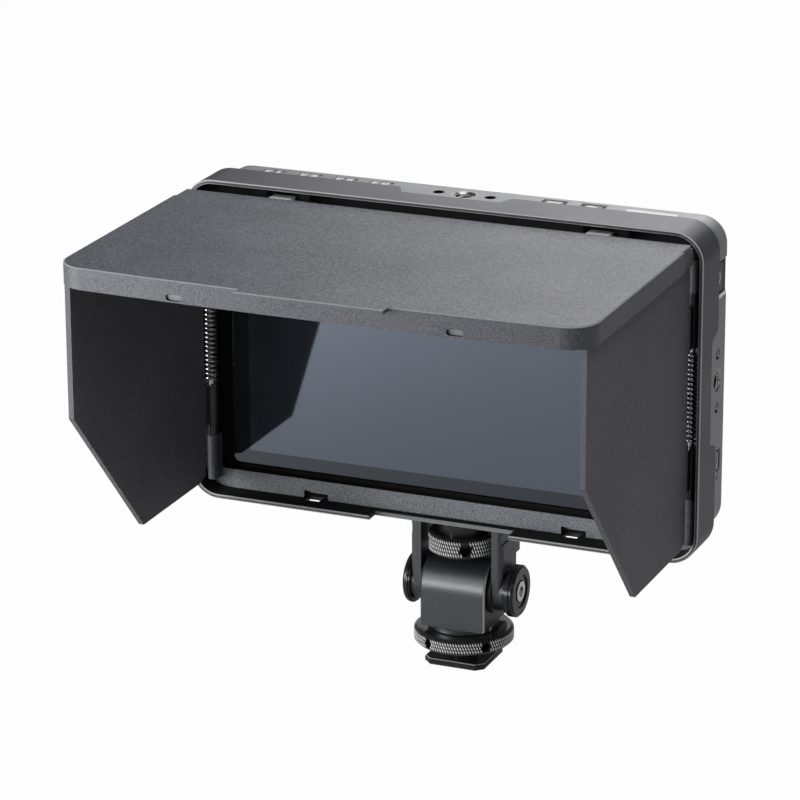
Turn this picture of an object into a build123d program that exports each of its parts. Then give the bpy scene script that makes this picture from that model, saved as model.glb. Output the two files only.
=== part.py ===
from build123d import *
from math import cos, radians, sin
import os

# Camera field monitor with a folding sun hood, on a tilting cold-shoe mount.
# Millimetres. +X is the screen's right edge, +Y goes through to the back, +Z is up.
# The origin is the middle of the underside of the shoe foot. The screen faces -Y.

os.makedirs("parts", exist_ok=True)

# ---------------------------------------------------------------- driving dimensions
# Shoe foot, post and lock ring
foot_width = 18.2
foot_length = 18.0
foot_thickness = 1.9
foot_corner = 2.2
foot_edge_chamfer = 0.35
post_radius = 4.0
post_neck_radius = 3.0
rail_gap = 3.8
ring_radius = 14.1
ring_thickness = 4.5
ring_hole_radius = 1.35
ring_hole_depth = 3.6
ring_hole_count = 5
ring_hole_start = -24.0
ring_edge_chamfer = 0.8
clamp_disc_radius = 8.0
clamp_disc_thickness = 1.0
clamp_disc_proud = 0.2
ring_turning_gap = 0.3
shaft_clearance = 0.05

# Tilt block
block_width = 19.4
block_edge_chamfer = 0.5
block_depth = 18.2
axis_height = 22.4
block_base_gap = 0.3
block_base_thickness = 1.2
block_base_radius = 10.1
post_neck_depth = 5.0

# Tilt bracket
arm_gap = 21.2
arm_thickness = 3.25
arm_depth = 12.2
arm_heel_depth = 2.8
arm_heel_rise = 9.5
web_height = 44.7
web_thickness = 3.0
skirt_over_web = 0.35
arm_groove_height = 3.1
arm_groove_depth = 0.45
web_corner = 1.6
axle_radius = 3.0
cap_radius = 7.45
left_cap_thickness = 2.2
right_washer_radius = 6.6
right_washer_thickness = 1.0
right_cap_thickness = 2.5
cap_rim_chamfer = 0.6
cap_groove_width = 0.5
cap_groove_depth = 0.35
cap_recess_radius = 4.8
cap_recess_depth = 0.4
friction_washer_gap = 0.05
socket_head_radius = 2.9
socket_head_height = 1.7
socket_shank_radius = 1.65
socket_shank_length = 9.0
hex_key_size = 3.0
hex_key_depth = 1.2

# Thumbwheel and its quarter-inch screw
wheel_radius = 10.0
wheel_thickness = 5.9
wheel_boss_radius = 7.0
wheel_below_web = 2.85
wheel_hole_radius = 1.9
wheel_hole_depth = 3.6
wheel_hole_count = 4
wheel_hole_start = 24.5
wheel_edge_chamfer = 0.7
screw_radius = 2.55
screw_nub = 0.7
screw_engagement = 5.6
clip_radius = 4.1
clip_thickness = 0.6
pad_radius = 8.4
pad_gap = 0.05

# Monitor body
body_width = 146.8
body_height = 88.6
body_depth = 18.6
body_corner = 7.4
body_wall = 2.0
back_wall = 2.2
back_edge_round = 2.6
thread_axis_depth = 19.5
thread_radius = 2.6
thread_depth = 7.0
insert_radius = 3.5
insert_floor = 1.2
thread_lead_in = 0.6
locating_spacing = 15.2
locating_radius = 1.6
locating_depth = 1.6
bezel_thickness = 2.6
bezel_side_gap = 0.2
glass_side_margin = 7.4
glass_end_margin = 6.2
glass_thickness = 1.1
glass_corner = 2.0
glass_inset = 0.5
glass_gap = 0.2
panel_side_margin = 3.0
panel_end_margin = 1.7
panel_corner = 0.4
panel_thickness = 1.5
backlight_thickness = 1.6
tray_margin = 1.9
tray_end_margin = 1.5
tray_thickness = 0.8
tray_slot_length = 16.0
tray_slot_width = 3.0
tray_slot_pitch_x = 30.0
tray_slot_pitch_z = 44.0
board_side_margin = 15.5
board_end_margin = 11.8
board_thickness = 1.6
board_corner = 1.5
standoff_height = 3.0
standoff_radius = 2.2
standoff_inset = 4.0
standoff_bore_radius = 1.1
chip_size = 13.0
chip_height = 1.3
chip_z = 2.0
memory_width = 8.0
memory_height = 6.0
memory_x = 15.0
memory_pitch_z = 10.0
spreader_width = 44.0
spreader_height = 36.0
spreader_gap = 0.2
spreader_contact_gap = 4.0

# Buttons and switches
button_travel = 0.5
button_fit = 0.3
button_sink = 0.05
flange_gap = 0.1
flange_margin = 0.7
flange_thickness = 0.8
button_row_depth = 20.9
function_button_length = 6.1
top_button_width = 3.8
function_button_pitch = 10.75
function_button_end_inset = 15.65
menu_button_length = 5.4
menu_button_pitch = 11.2
menu_button_end_inset = 36.9
button_frame_margin = 0.9
button_frame_depth = 0.7
power_button_height = 8.0
power_button_width = 8.4
power_button_depth = 20.2
power_button_end_inset = 15.9
power_button_rise = 0.05
power_bay_height = 10.4
power_bay_sink = 0.8
power_bay_front = 15.4
power_backing_wall = 1.3
power_ring_radius = 2.35
power_ring_wall = 0.5
power_ring_height = 0.3
switch_height = 1.6
switch_size = 3.4
switch_board_thickness = 0.8
switch_board_overhang = 6.0
power_board_half_height = 5.0
label_length = 14.8
label_width = 4.0
label_corner = 0.6
label_depth = 0.3
label_end_inset = 20.2

# Sockets
side_port_length = 7.3
side_port_width = 3.0
side_port_end_inset = 20.9
side_port_wall = 0.3
side_port_depth = 6.5
reset_radius = 0.6
reset_pitch = 4.7
hdmi_length = 15.0
hdmi_width = 5.6
hdmi_wall = 0.4
hdmi_depth = 11.0
hdmi_end_inset = 18.3
hdmi_pitch = 18.0
dc_socket_radius = 4.2
dc_bore_radius = 2.8
dc_pin_radius = 1.0
dc_pitch = 15.0
audio_radius = 3.0
audio_bore_radius = 1.8
audio_pitch = 11.0
socket_depth = 9.0
socket_tray_gap = 0.9
socket_fit = 0.15

# Battery plate, latch and back-cover screws
plate_width = 42.0
plate_height = 66.0
plate_thickness = 2.0
plate_corner = 3.0
rail_inset = 2.2
rail_height = 3.2
rail_thickness = 1.8
rail_hook = 1.2
rail_length = 15.0
rail_end_inset = 14.0
latch_width = 12.0
latch_height = 8.0
latch_thickness = 3.6
latch_travel = 3.0
latch_end_inset = 8.5
contact_width = 1.6
contact_height = 6.0
contact_pitch = 5.0
contact_proud = 1.4
contact_end_inset = 11.0
contact_block_margin = 0.8
contact_opening_margin = 1.0
vent_length = 24.0
vent_width = 1.3
vent_pitch = 4.0
vent_count = 6
vent_end_inset = 25.4
case_screw_side_inset = 6.4
case_screw_end_inset = 6.3
case_screw_radius = 2.4
case_boss_radius = 3.3
case_screw_reach = 2.5
case_screw_shank = 1.1
plate_screw_x = 12.0
plate_screw_end_inset = 4.5

# Hood frame
rim_side_margin = 1.9
rim_end_margin = 2.2
rim_corner = 8.4
rim_wall = 1.2
rim_recess = 6.8
face_thickness = 1.8
rim_edge_chamfer = 0.35
window_side_margin = 5.2
window_end_margin = 6.8
window_corner = 2.6
skirt_depth = 13.5
body_clearance = 0.25
thread_notch_width = 29.0
thread_notch_slope = 1.8
thread_notch_round = 1.4
notch_width = 41.4
notch_depth = 4.5
latch_window_side_inset = 36.8
latch_window_offset = -1.2
latch_window_width = 7.3
latch_window_height = 2.3
latch_hole_offset = -0.65
latch_hole_width = 4.3
latch_hole_front = 5.4
latch_hole_rear = 9.3

# Side flaps
flap_side_setback = 1.65
flap_thickness = 1.5
flap_front_setback = 2.9
flap_rear = 0.5
flap_top_gap = 2.2
flap_shoulder_drop = 2.6
flap_shoulder_length = 8.6
flap_shoulder_rear = 11.0
flap_bottom_inset = 5.5
flap_cut_z = 1.7
flap_cut_y = 39.9
flap_heel_length = 4.1
flap_heel_rise = 1.2
left_pin_inset = 0.15
left_pin_depth = 4.0
right_pin_offset = 0.9
right_pin_depth = 4.65
flap_pin_radius = 0.9
knuckle_radius = 1.6
knuckle_height = 11.6
collar_height = 3.2
collar_gap = 0.1
lug_half_width = 1.5
lug_lower_length = 13.0
lug_upper_length = 11.6
lug_end_gap = 0.2
coil_radius = 2.05
coil_bore_radius = 1.15
coil_count = 22
coil_end_gap = 0.8

# Lid
lid_side_setback = 1.9
lid_rear_step = 0.6
lid_rear_notch = 10.4
lid_rear = 3.4
lid_front = 81.5
lid_bow = 1.8
lid_corner = 8.0
lid_top_drop = 2.1
lid_thickness = 1.4
lip_height = 5.9
lip_wall = 1.3
lip_rear = 1.4
tab_half_width = 20.5
tab_reach = 2.4
tab_thickness = 1.2
lip_slot_side_inset = 34.9
lip_slot_width = 4.5
lip_slot_height = 1.7
lip_slot_rise = 1.3
lip_slot_sink = 0.7
lid_pin_depth = 2.6
lid_pin_drop = 2.0
lid_pin_radius = 0.75
leaf_side_inset = 27.4
leaf_width = 6.4
leaf_thickness = 1.0
leaf_tail = 9.0
leaf_knuckle_radius = 1.3
pin_lug_width = 3.0
pin_lug_spread = 6.4
pin_lug_drop = 1.0

# ---------------------------------------------------------------- values worked out from them
rim_y = -thread_axis_depth
mid_z = web_height + skirt_over_web + rim_end_margin + body_height / 2
face_back = rim_recess + face_thickness
body_front = face_back + 0.3
body_back = body_front + body_depth
body_inner_back = body_back - back_wall
glass_front = body_front + glass_inset
glass_back = glass_front + glass_thickness
panel_front = glass_back
backlight_front = panel_front + panel_thickness
tray_front = backlight_front + backlight_thickness
tray_back = tray_front + tray_thickness
board_front = tray_back + standoff_height
board_back = board_front + board_thickness
chip_back = board_back + chip_height
body_half_x = body_width / 2
body_half_z = body_height / 2
glass_width = body_width - 2 * glass_side_margin
glass_height = body_height - 2 * glass_end_margin
panel_width = glass_width - 2 * panel_side_margin
panel_height = glass_height - 2 * panel_end_margin
case_screw_x = body_half_x - case_screw_side_inset
case_screw_z = body_half_z - case_screw_end_inset
board_width = body_width - 2 * (body_wall + tray_margin + board_side_margin)
board_height = body_height - 2 * (body_wall + tray_end_margin + board_end_margin)
power_button_z = body_half_z - power_button_end_inset
label_x = body_half_x - label_end_inset
vent_x = body_half_x - vent_end_inset

ring_bottom = foot_thickness + rail_gap
ring_top = ring_bottom + ring_thickness
disc_bottom = ring_bottom - clamp_disc_proud
disc_top = disc_bottom + clamp_disc_thickness
block_bottom = ring_top + block_base_gap + block_base_thickness
block_base_bottom = ring_top + block_base_gap

skirt_bottom = mid_z - body_half_z - rim_end_margin
web_top = skirt_bottom - skirt_over_web
web_bottom = web_top - web_thickness
housing_bottom = mid_z - body_half_z
wheel_top = web_bottom - wheel_below_web
wheel_bottom = wheel_top - wheel_thickness
arm_inner_x = arm_gap / 2
arm_outer_x = arm_inner_x + arm_thickness

button_top = body_half_z - button_sink
wall_inner_z = body_half_z - body_wall
wall_inner_x = body_half_x - body_wall
flange_top = wall_inner_z - flange_gap
flange_bottom = flange_top - flange_thickness
switch_top = flange_bottom - button_travel - flange_gap
switch_board_top = switch_top - switch_height

socket_row_depth = tray_back + dc_socket_radius + socket_tray_gap
hdmi_z = [body_half_z - hdmi_end_inset - shift for shift in (0, hdmi_pitch)]
dc_z = hdmi_z[1] - dc_pitch
audio_z = dc_z - audio_pitch
side_port_z = -body_half_z + side_port_end_inset
reset_z = side_port_z - reset_pitch
rail_offset = plate_height / 2 - rail_end_inset
latch_z = -plate_height / 2 + latch_end_inset
contact_z = plate_height / 2 - contact_end_inset
plate_screw_z = plate_height / 2 - plate_screw_end_inset

rim_half_x = body_half_x + rim_side_margin
rim_half_z = body_half_z + rim_end_margin
rim_width = 2 * rim_half_x
rim_height = 2 * rim_half_z
window_width = rim_width - 2 * window_side_margin
window_height = rim_height - 2 * window_end_margin
latch_window_x = rim_half_x - latch_window_side_inset

lid_half_width = rim_half_x - lid_side_setback
lid_rear_half_width = lid_half_width - lid_rear_step
lid_top = rim_half_z - lid_top_drop
lid_under = lid_top - lid_thickness
lip_bottom = lid_top - lip_height
lip_slot_x = lid_half_width - lip_slot_side_inset
lip_slot_z = lip_bottom + lip_slot_rise
lid_pin_z = lid_top - lid_pin_drop
leaf_x = lid_half_width - leaf_side_inset
pin_lug_inner_x = leaf_x - pin_lug_spread
pin_lug_outer_x = leaf_x + pin_lug_spread

flap_outer_x = lid_half_width - flap_side_setback
flap_inner_x = flap_outer_x - flap_thickness
flap_front = lid_front - flap_front_setback
flap_top = lid_under - flap_top_gap
flap_shoulder_top = flap_top - flap_shoulder_drop
flap_shoulder_front = flap_front - flap_shoulder_length
flap_bottom = -(rim_half_z - flap_bottom_inset)
left_pin_x = flap_inner_x - left_pin_inset
right_pin_x = flap_inner_x + right_pin_offset
lug_upper_end = flap_top - lug_end_gap
collar_outer_z = lug_upper_end - lug_upper_length - collar_gap
lug_lower_end = collar_outer_z + collar_gap + lug_lower_length
knuckle_outer_z = collar_outer_z - collar_height - collar_gap
knuckle_inner_z = knuckle_outer_z - knuckle_height
coil_half = knuckle_inner_z - coil_end_gap
coil_pitch = 2 * coil_half / coil_count


# ---------------------------------------------------------------- helpers
def facing(depth):
    """Plane parallel to the screen, depth behind the rim: local x is +X, local y is +Z."""
    return Plane(origin=(0, rim_y + depth, mid_z), x_dir=(1, 0, 0), z_dir=(0, -1, 0))


def side_plane(x):
    """Plane square to X: local x is +Y measured from the rim, local y is +Z from mid-screen."""
    return Plane(origin=(x, rim_y, mid_z), x_dir=(0, 1, 0), z_dir=(1, 0, 0))


def top_plane(z):
    """Level plane at a height over mid-screen: local x is +X, local y is +Y from the rim."""
    return Plane(origin=(0, rim_y, mid_z + z), x_dir=(1, 0, 0), z_dir=(0, 0, 1))


def tilt_plane(x):
    """Plane square to the tilt axle, centred on it: local x is +Y, local y is +Z."""
    return Plane(origin=(x, 0, axis_height), x_dir=(0, 1, 0), z_dir=(1, 0, 0))


def slab(width, height, corner, front, back, mode=Mode.ADD):
    """Rounded plate parallel to the screen, between two depths behind the rim."""
    with BuildSketch(facing(front)) as profile:
        RectangleRounded(width, height, corner)
    extrude(profile.sketch, amount=-(back - front), mode=mode)


def block_between(low, high, mode=Mode.ADD):
    """Plain block between two corners given as x, depth behind the rim, height over mid-screen."""
    with BuildSketch(top_plane(low[2])) as profile:
        with Locations(((low[0] + high[0]) / 2, (low[1] + high[1]) / 2)):
            Rectangle(high[0] - low[0], high[1] - low[1])
    extrude(profile.sketch, amount=high[2] - low[2], mode=mode)


def upright(x, depth, radius, low, high, mode=Mode.ADD):
    """Upright cylinder at a place in the hood, between two heights over mid-screen."""
    with BuildSketch(top_plane(low)) as profile:
        with Locations((x, depth)):
            Circle(radius)
    extrude(profile.sketch, amount=high - low, mode=mode)


def disc(radius, low, high, mode=Mode.ADD):
    """Disc round the vertical axis of the mount, between two heights over the foot."""
    with BuildSketch(Plane.XY.offset(low)) as profile:
        Circle(radius)
    extrude(profile.sketch, amount=high - low, mode=mode)


def axle_disc(radius, x_low, x_high, mode=Mode.ADD):
    """Disc round the tilt axle, between two places along it."""
    with BuildSketch(tilt_plane(x_low)) as profile:
        Circle(radius)
    extrude(profile.sketch, amount=x_high - x_low, mode=mode)


def save(builder, name):
    """Label one finished piece and write its file."""
    builder.part.label = name
    export_step(builder.part, f"parts/{name}.step")


def polar_bores(count, radius, outer, depth, height, start=0.0):
    """Blind radial holes round a wheel's rim, at one height."""
    for index in range(count):
        angle = start + index * 360 / count
        direction = (cos(radians(angle)), sin(radians(angle)), 0)
        mouth = Plane(origin=(direction[0] * outer, direction[1] * outer, height), z_dir=direction)
        with BuildSketch(mouth) as profile:
            Circle(radius)
        extrude(profile.sketch, amount=-depth, mode=Mode.SUBTRACT)


# ---------------------------------------------------------------- shoe foot and lock ring
with BuildPart() as shoe_foot:
    with BuildSketch():
        Rectangle(foot_width, foot_length)
        chamfer(vertices(), foot_corner)
    extrude(amount=foot_thickness)
    chamfer(faces().filter_by(Axis.Z).edges(), foot_edge_chamfer)
    disc(post_neck_radius, 0, foot_thickness, mode=Mode.SUBTRACT)
save(shoe_foot, "shoe_foot")

with BuildPart() as foot_post:
    disc(post_neck_radius, 0, foot_thickness)
    disc(post_radius, foot_thickness, block_base_bottom)
    disc(post_neck_radius, block_base_bottom, block_bottom + post_neck_depth)
save(foot_post, "foot_post")

with BuildPart() as clamp_disc:
    disc(clamp_disc_radius, disc_bottom, disc_top)
    disc(post_radius + shaft_clearance, disc_bottom, disc_top, mode=Mode.SUBTRACT)
save(clamp_disc, "clamp_disc")

with BuildPart() as lock_ring:
    disc(ring_radius, ring_bottom, ring_top)
    chamfer(edges().filter_by(GeomType.CIRCLE), ring_edge_chamfer)
    disc(post_radius + shaft_clearance, ring_bottom, ring_top, mode=Mode.SUBTRACT)
    disc(clamp_disc_radius + ring_turning_gap, ring_bottom, disc_top + friction_washer_gap,
         mode=Mode.SUBTRACT)
    polar_bores(ring_hole_count, ring_hole_radius, ring_radius, ring_hole_depth,
                ring_bottom + ring_thickness / 2, start=ring_hole_start - 90)
save(lock_ring, "lock_ring")

# ---------------------------------------------------------------- tilt block and axle
with BuildPart() as tilt_block:
    with BuildSketch(tilt_plane(-block_width / 2)):
        Circle(block_depth / 2)
        with Locations((0, (block_bottom - axis_height) / 2)):
            Rectangle(block_depth, axis_height - block_bottom)
    extrude(amount=block_width)
    chamfer(faces().filter_by(Axis.X).edges(), block_edge_chamfer)
    disc(block_base_radius, block_base_bottom, block_bottom)
    disc(post_neck_radius, block_base_bottom, block_bottom + post_neck_depth, mode=Mode.SUBTRACT)
    axle_disc(axle_radius + shaft_clearance, -block_width / 2, block_width / 2, mode=Mode.SUBTRACT)
save(tilt_block, "tilt_block")

with BuildPart() as tilt_axle:
    axle_disc(axle_radius, -arm_outer_x, arm_outer_x)
    axle_disc(socket_shank_radius, arm_outer_x - socket_shank_length, arm_outer_x, mode=Mode.SUBTRACT)
save(tilt_axle, "tilt_axle")

for side, name in ((-1, "friction_washer_left"), (1, "friction_washer_right")):
    washer_near = block_width / 2 + friction_washer_gap
    washer_far = arm_inner_x
    with BuildPart() as friction_washer:
        axle_disc(cap_radius - 0.3, min(side * washer_near, side * washer_far),
                  max(side * washer_near, side * washer_far))
        axle_disc(axle_radius, -washer_far, washer_far, mode=Mode.SUBTRACT)
    save(friction_washer, name)

# ---------------------------------------------------------------- tilt bracket
with BuildPart() as tilt_bracket:
    # A round-cornered block hollowed to a U, with its arm ends rounded about the axle.
    with BuildSketch(Plane.XY.offset(axis_height)):
        RectangleRounded(2 * arm_outer_x, arm_depth, web_corner)
    extrude(amount=web_top - axis_height)
    # The arms are deeper behind, above the axle.
    with BuildSketch(Plane.XY.offset(axis_height + arm_heel_rise)):
        with Locations((0, arm_heel_depth / 2)):
            RectangleRounded(2 * arm_outer_x, arm_depth + arm_heel_depth, web_corner)
    extrude(amount=web_top - axis_height - arm_heel_rise)
    axle_disc(arm_depth / 2, -arm_outer_x, arm_outer_x)
    with BuildSketch(Plane.XY.offset(axis_height - arm_depth)):
        Rectangle(arm_gap, 2 * arm_depth)
    extrude(amount=web_bottom - axis_height + arm_depth, mode=Mode.SUBTRACT)
    # Shallow groove across the outside of each arm, under the web.
    for side in (-1, 1):
        with BuildSketch(Plane.XY.offset(web_bottom - 1.2 - arm_groove_height)):
            with Locations((side * arm_outer_x, 0)):
                Rectangle(2 * arm_groove_depth, 2 * arm_depth)
        extrude(amount=arm_groove_height, mode=Mode.SUBTRACT)
    axle_disc(axle_radius, -arm_outer_x, arm_outer_x, mode=Mode.SUBTRACT)
    disc(screw_radius + 0.1, web_bottom, web_top, mode=Mode.SUBTRACT)
save(tilt_bracket, "tilt_bracket")


def cap_groove(x_low):
    """Narrow turned groove round a cap's rim."""
    with BuildSketch(tilt_plane(x_low)) as profile:
        Circle(cap_radius + 1)
        Circle(cap_radius - cap_groove_depth, mode=Mode.SUBTRACT)
    extrude(profile.sketch, amount=cap_groove_width, mode=Mode.SUBTRACT)


with BuildPart() as tilt_cap_left:
    axle_disc(cap_radius, -arm_outer_x - left_cap_thickness, -arm_outer_x)
    fillet(edges().filter_by(GeomType.CIRCLE).sort_by(Axis.X)[0], 1.2)
    cap_groove(-arm_outer_x - cap_groove_width)
save(tilt_cap_left, "tilt_cap_left")

right_cap_inner = arm_outer_x + right_washer_thickness
right_cap_outer = right_cap_inner + right_cap_thickness
with BuildPart() as tilt_cap_right:
    axle_disc(right_washer_radius, arm_outer_x, right_cap_inner)
    axle_disc(cap_radius, right_cap_inner, right_cap_outer)
    chamfer(edges().filter_by(GeomType.CIRCLE).sort_by(Axis.X)[-1], cap_rim_chamfer)
    cap_groove(right_cap_inner + 2 * cap_groove_width)
    axle_disc(cap_recess_radius, right_cap_outer - cap_recess_depth, right_cap_outer, mode=Mode.SUBTRACT)
    axle_disc(socket_shank_radius, arm_outer_x, right_cap_outer, mode=Mode.SUBTRACT)
    axle_disc(socket_head_radius + 0.3, right_cap_outer - socket_head_height, right_cap_outer,
              mode=Mode.SUBTRACT)
save(tilt_cap_right, "tilt_cap_right")

with BuildPart() as tilt_socket_screw:
    head_seat = right_cap_outer - socket_head_height
    axle_disc(socket_head_radius, head_seat, right_cap_outer - 0.1)
    axle_disc(socket_shank_radius, arm_outer_x - socket_shank_length, head_seat)
    with BuildSketch(tilt_plane(right_cap_outer)):
        RegularPolygon(hex_key_size / 2, 6, major_radius=False)
    extrude(amount=-hex_key_depth, mode=Mode.SUBTRACT)
save(tilt_socket_screw, "tilt_socket_screw")

# ---------------------------------------------------------------- thumbwheel and mounting screw
with BuildPart() as thumbwheel:
    disc(wheel_radius, wheel_bottom, wheel_top)
    chamfer(edges().filter_by(GeomType.CIRCLE), wheel_edge_chamfer)
    disc(wheel_boss_radius, wheel_top, web_bottom - pad_gap)
    disc(screw_radius, wheel_bottom, web_bottom, mode=Mode.SUBTRACT)
    polar_bores(wheel_hole_count, wheel_hole_radius, wheel_radius, wheel_hole_depth,
                wheel_bottom + wheel_thickness / 2, start=wheel_hole_start - 90)
save(thumbwheel, "thumbwheel")

with BuildPart() as mount_screw:
    disc(screw_radius, wheel_bottom - screw_nub, housing_bottom + screw_engagement)
    chamfer(edges().filter_by(GeomType.CIRCLE), 0.4)
save(mount_screw, "mount_screw")

with BuildPart() as screw_clip:
    disc(clip_radius, web_top + pad_gap, web_top + pad_gap + clip_thickness)
    disc(screw_radius, web_top, housing_bottom, mode=Mode.SUBTRACT)
save(screw_clip, "screw_clip")

with BuildPart() as bracket_pad:
    disc(pad_radius, web_top, housing_bottom - pad_gap)
    disc(clip_radius + 0.3, web_top, housing_bottom, mode=Mode.SUBTRACT)
save(bracket_pad, "bracket_pad")

# ---------------------------------------------------------------- rear housing
function_button_first_x = -body_half_x + function_button_end_inset
function_button_x = [function_button_first_x + index * function_button_pitch for index in range(4)]
menu_button_x = [body_half_x - menu_button_end_inset - shift for shift in (menu_button_pitch, 0)]
top_buttons = [(x, function_button_length) for x in function_button_x]
top_buttons += [(x, menu_button_length) for x in menu_button_x]


def thread_axes():
    """The three threaded holes: name, mouth point, outward direction, direction of the peg holes."""
    depth = rim_y + thread_axis_depth
    return [
        ("top", (0, depth, mid_z + body_half_z), (0, 0, 1), (1, 0, 0)),
        ("bottom", (0, depth, mid_z - body_half_z), (0, 0, -1), (1, 0, 0)),
        ("side", (body_half_x, depth, mid_z), (1, 0, 0), (0, 0, 1)),
    ]


with BuildPart() as rear_housing:
    slab(body_width, body_height, body_corner, body_front, body_back)
    fillet(faces().sort_by(Axis.Y)[-1].edges(), back_edge_round)
    slab(body_width - 2 * body_wall, body_height - 2 * body_wall, body_corner - body_wall,
         body_front, body_inner_back, mode=Mode.SUBTRACT)
    # Blocks inside the walls that carry the threaded inserts.
    for label, mouth, outward, along in thread_axes():
        seat = Plane(origin=mouth, x_dir=along, z_dir=outward)
        with BuildSketch(seat.offset(-body_wall)):
            Rectangle(locating_spacing + 2 * locating_radius + 2, 2 * (insert_radius + insert_floor))
        extrude(amount=-(thread_depth + insert_floor - body_wall))
        with BuildSketch(seat):
            Circle(insert_radius)
        extrude(amount=-thread_depth, mode=Mode.SUBTRACT)
        with BuildSketch(seat):
            with Locations((-locating_spacing / 2, 0), (locating_spacing / 2, 0)):
                Circle(locating_radius)
        extrude(amount=-locating_depth, mode=Mode.SUBTRACT)
    # Button holes along the top wall, and a sunk frame round each of the two menu keys.
    for x, length in top_buttons:
        with BuildSketch(top_plane(body_half_z)):
            with Locations((x, button_row_depth)):
                Rectangle(length + 2 * button_fit, top_button_width + 2 * button_fit)
        extrude(amount=-body_wall, mode=Mode.SUBTRACT)
    for x in menu_button_x:
        with BuildSketch(top_plane(body_half_z)):
            with Locations((x, button_row_depth)):
                Rectangle(menu_button_length + 2 * button_frame_margin,
                          top_button_width + 2 * button_frame_margin)
        extrude(amount=-button_frame_depth, taper=35, mode=Mode.SUBTRACT)
    # Shallow blank plate recess at the right end of the top.
    with BuildSketch(top_plane(body_half_z)):
        with Locations((label_x, button_row_depth)):
            RectangleRounded(label_length, label_width, label_corner)
    extrude(amount=-label_depth, mode=Mode.SUBTRACT)
    # Power button bay in the right wall, open to the back edge, with a thickened floor behind it.
    bay = side_plane(body_half_x)
    with BuildSketch(bay.offset(-body_wall)):
        with Locations((power_button_depth, power_button_z)):
            Rectangle(power_button_width + 2 * power_backing_wall, power_bay_height + 2 * power_backing_wall)
    extrude(amount=-power_bay_sink)
    bay_length = 2 * (body_back - power_bay_front)
    with BuildSketch(bay):
        with Locations((power_bay_front + bay_length / 2, power_button_z)):
            Rectangle(bay_length, power_bay_height)
    extrude(amount=-power_bay_sink, taper=40, mode=Mode.SUBTRACT)
    with BuildSketch(bay):
        with Locations((power_button_depth, power_button_z)):
            Rectangle(power_button_width + 2 * button_fit, power_button_height + 2 * button_fit)
    extrude(amount=-(body_wall + power_bay_sink), mode=Mode.SUBTRACT)
    # Right-hand port and reset hole.
    with BuildSketch(bay):
        with Locations((socket_row_depth + 2, side_port_z)):
            SlotOverall(side_port_length + 2 * socket_fit, side_port_width + 2 * socket_fit, rotation=90)
    extrude(amount=-body_wall, mode=Mode.SUBTRACT)
    with BuildSketch(bay):
        with Locations((socket_row_depth + 1.4, reset_z)):
            Circle(reset_radius)
    extrude(amount=-body_wall, mode=Mode.SUBTRACT)
    # Left-hand sockets.
    left_wall = side_plane(-body_half_x)
    with BuildSketch(left_wall):
        with Locations(*[(socket_row_depth, z) for z in hdmi_z]):
            Rectangle(hdmi_width + 2 * socket_fit, hdmi_length + 2 * socket_fit)
        with Locations((socket_row_depth, dc_z)):
            Circle(dc_socket_radius + socket_fit)
        with Locations((socket_row_depth, audio_z)):
            Circle(audio_radius + socket_fit)
    extrude(amount=body_wall, mode=Mode.SUBTRACT)
    # Back wall: vents, screw holes with inside posts, and the contact opening.
    with BuildSketch(facing(body_inner_back)):
        for side in (-1, 1):
            with Locations((side * vent_x, 0)):
                with GridLocations(1, vent_pitch, 1, vent_count):
                    SlotOverall(vent_length, vent_width)
    extrude(amount=-back_wall, mode=Mode.SUBTRACT)
    with BuildSketch(facing(tray_back)):
        with GridLocations(2 * case_screw_x, 2 * case_screw_z, 2, 2):
            Circle(case_boss_radius)
    extrude(amount=-(body_inner_back - tray_back))
    with BuildSketch(facing(body_back)):
        with GridLocations(2 * case_screw_x, 2 * case_screw_z, 2, 2):
            Circle(case_screw_radius + 0.1)
    extrude(amount=1.4, mode=Mode.SUBTRACT)
    with BuildSketch(facing(body_back)):
        with GridLocations(2 * case_screw_x, 2 * case_screw_z, 2, 2):
            Circle(case_screw_shank)
    extrude(amount=body_back - tray_back, mode=Mode.SUBTRACT)
    with BuildSketch(facing(body_back)):
        with GridLocations(2 * plate_screw_x, 2 * plate_screw_z, 2, 2):
            Circle(1.0)
    extrude(amount=back_wall, mode=Mode.SUBTRACT)
    with BuildSketch(facing(body_back)):
        with Locations((0, contact_z)):
            Rectangle(2 * contact_pitch + contact_width + 2 * contact_opening_margin,
                      contact_height + contact_opening_margin)
    extrude(amount=back_wall, mode=Mode.SUBTRACT)
save(rear_housing, "rear_housing")

for label, mouth, outward, along in thread_axes():
    seat = Plane(origin=mouth, x_dir=along, z_dir=outward)
    with BuildPart() as thread_insert:
        with BuildSketch(seat):
            Circle(insert_radius)
        extrude(amount=-thread_depth)
        with BuildSketch(seat):
            Circle(thread_radius)
        extrude(amount=-thread_depth, mode=Mode.SUBTRACT)
        with BuildSketch(seat):
            Circle(thread_radius + thread_lead_in)
        extrude(amount=-thread_lead_in, taper=45, mode=Mode.SUBTRACT)
    save(thread_insert, f"thread_insert_{label}")

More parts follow.
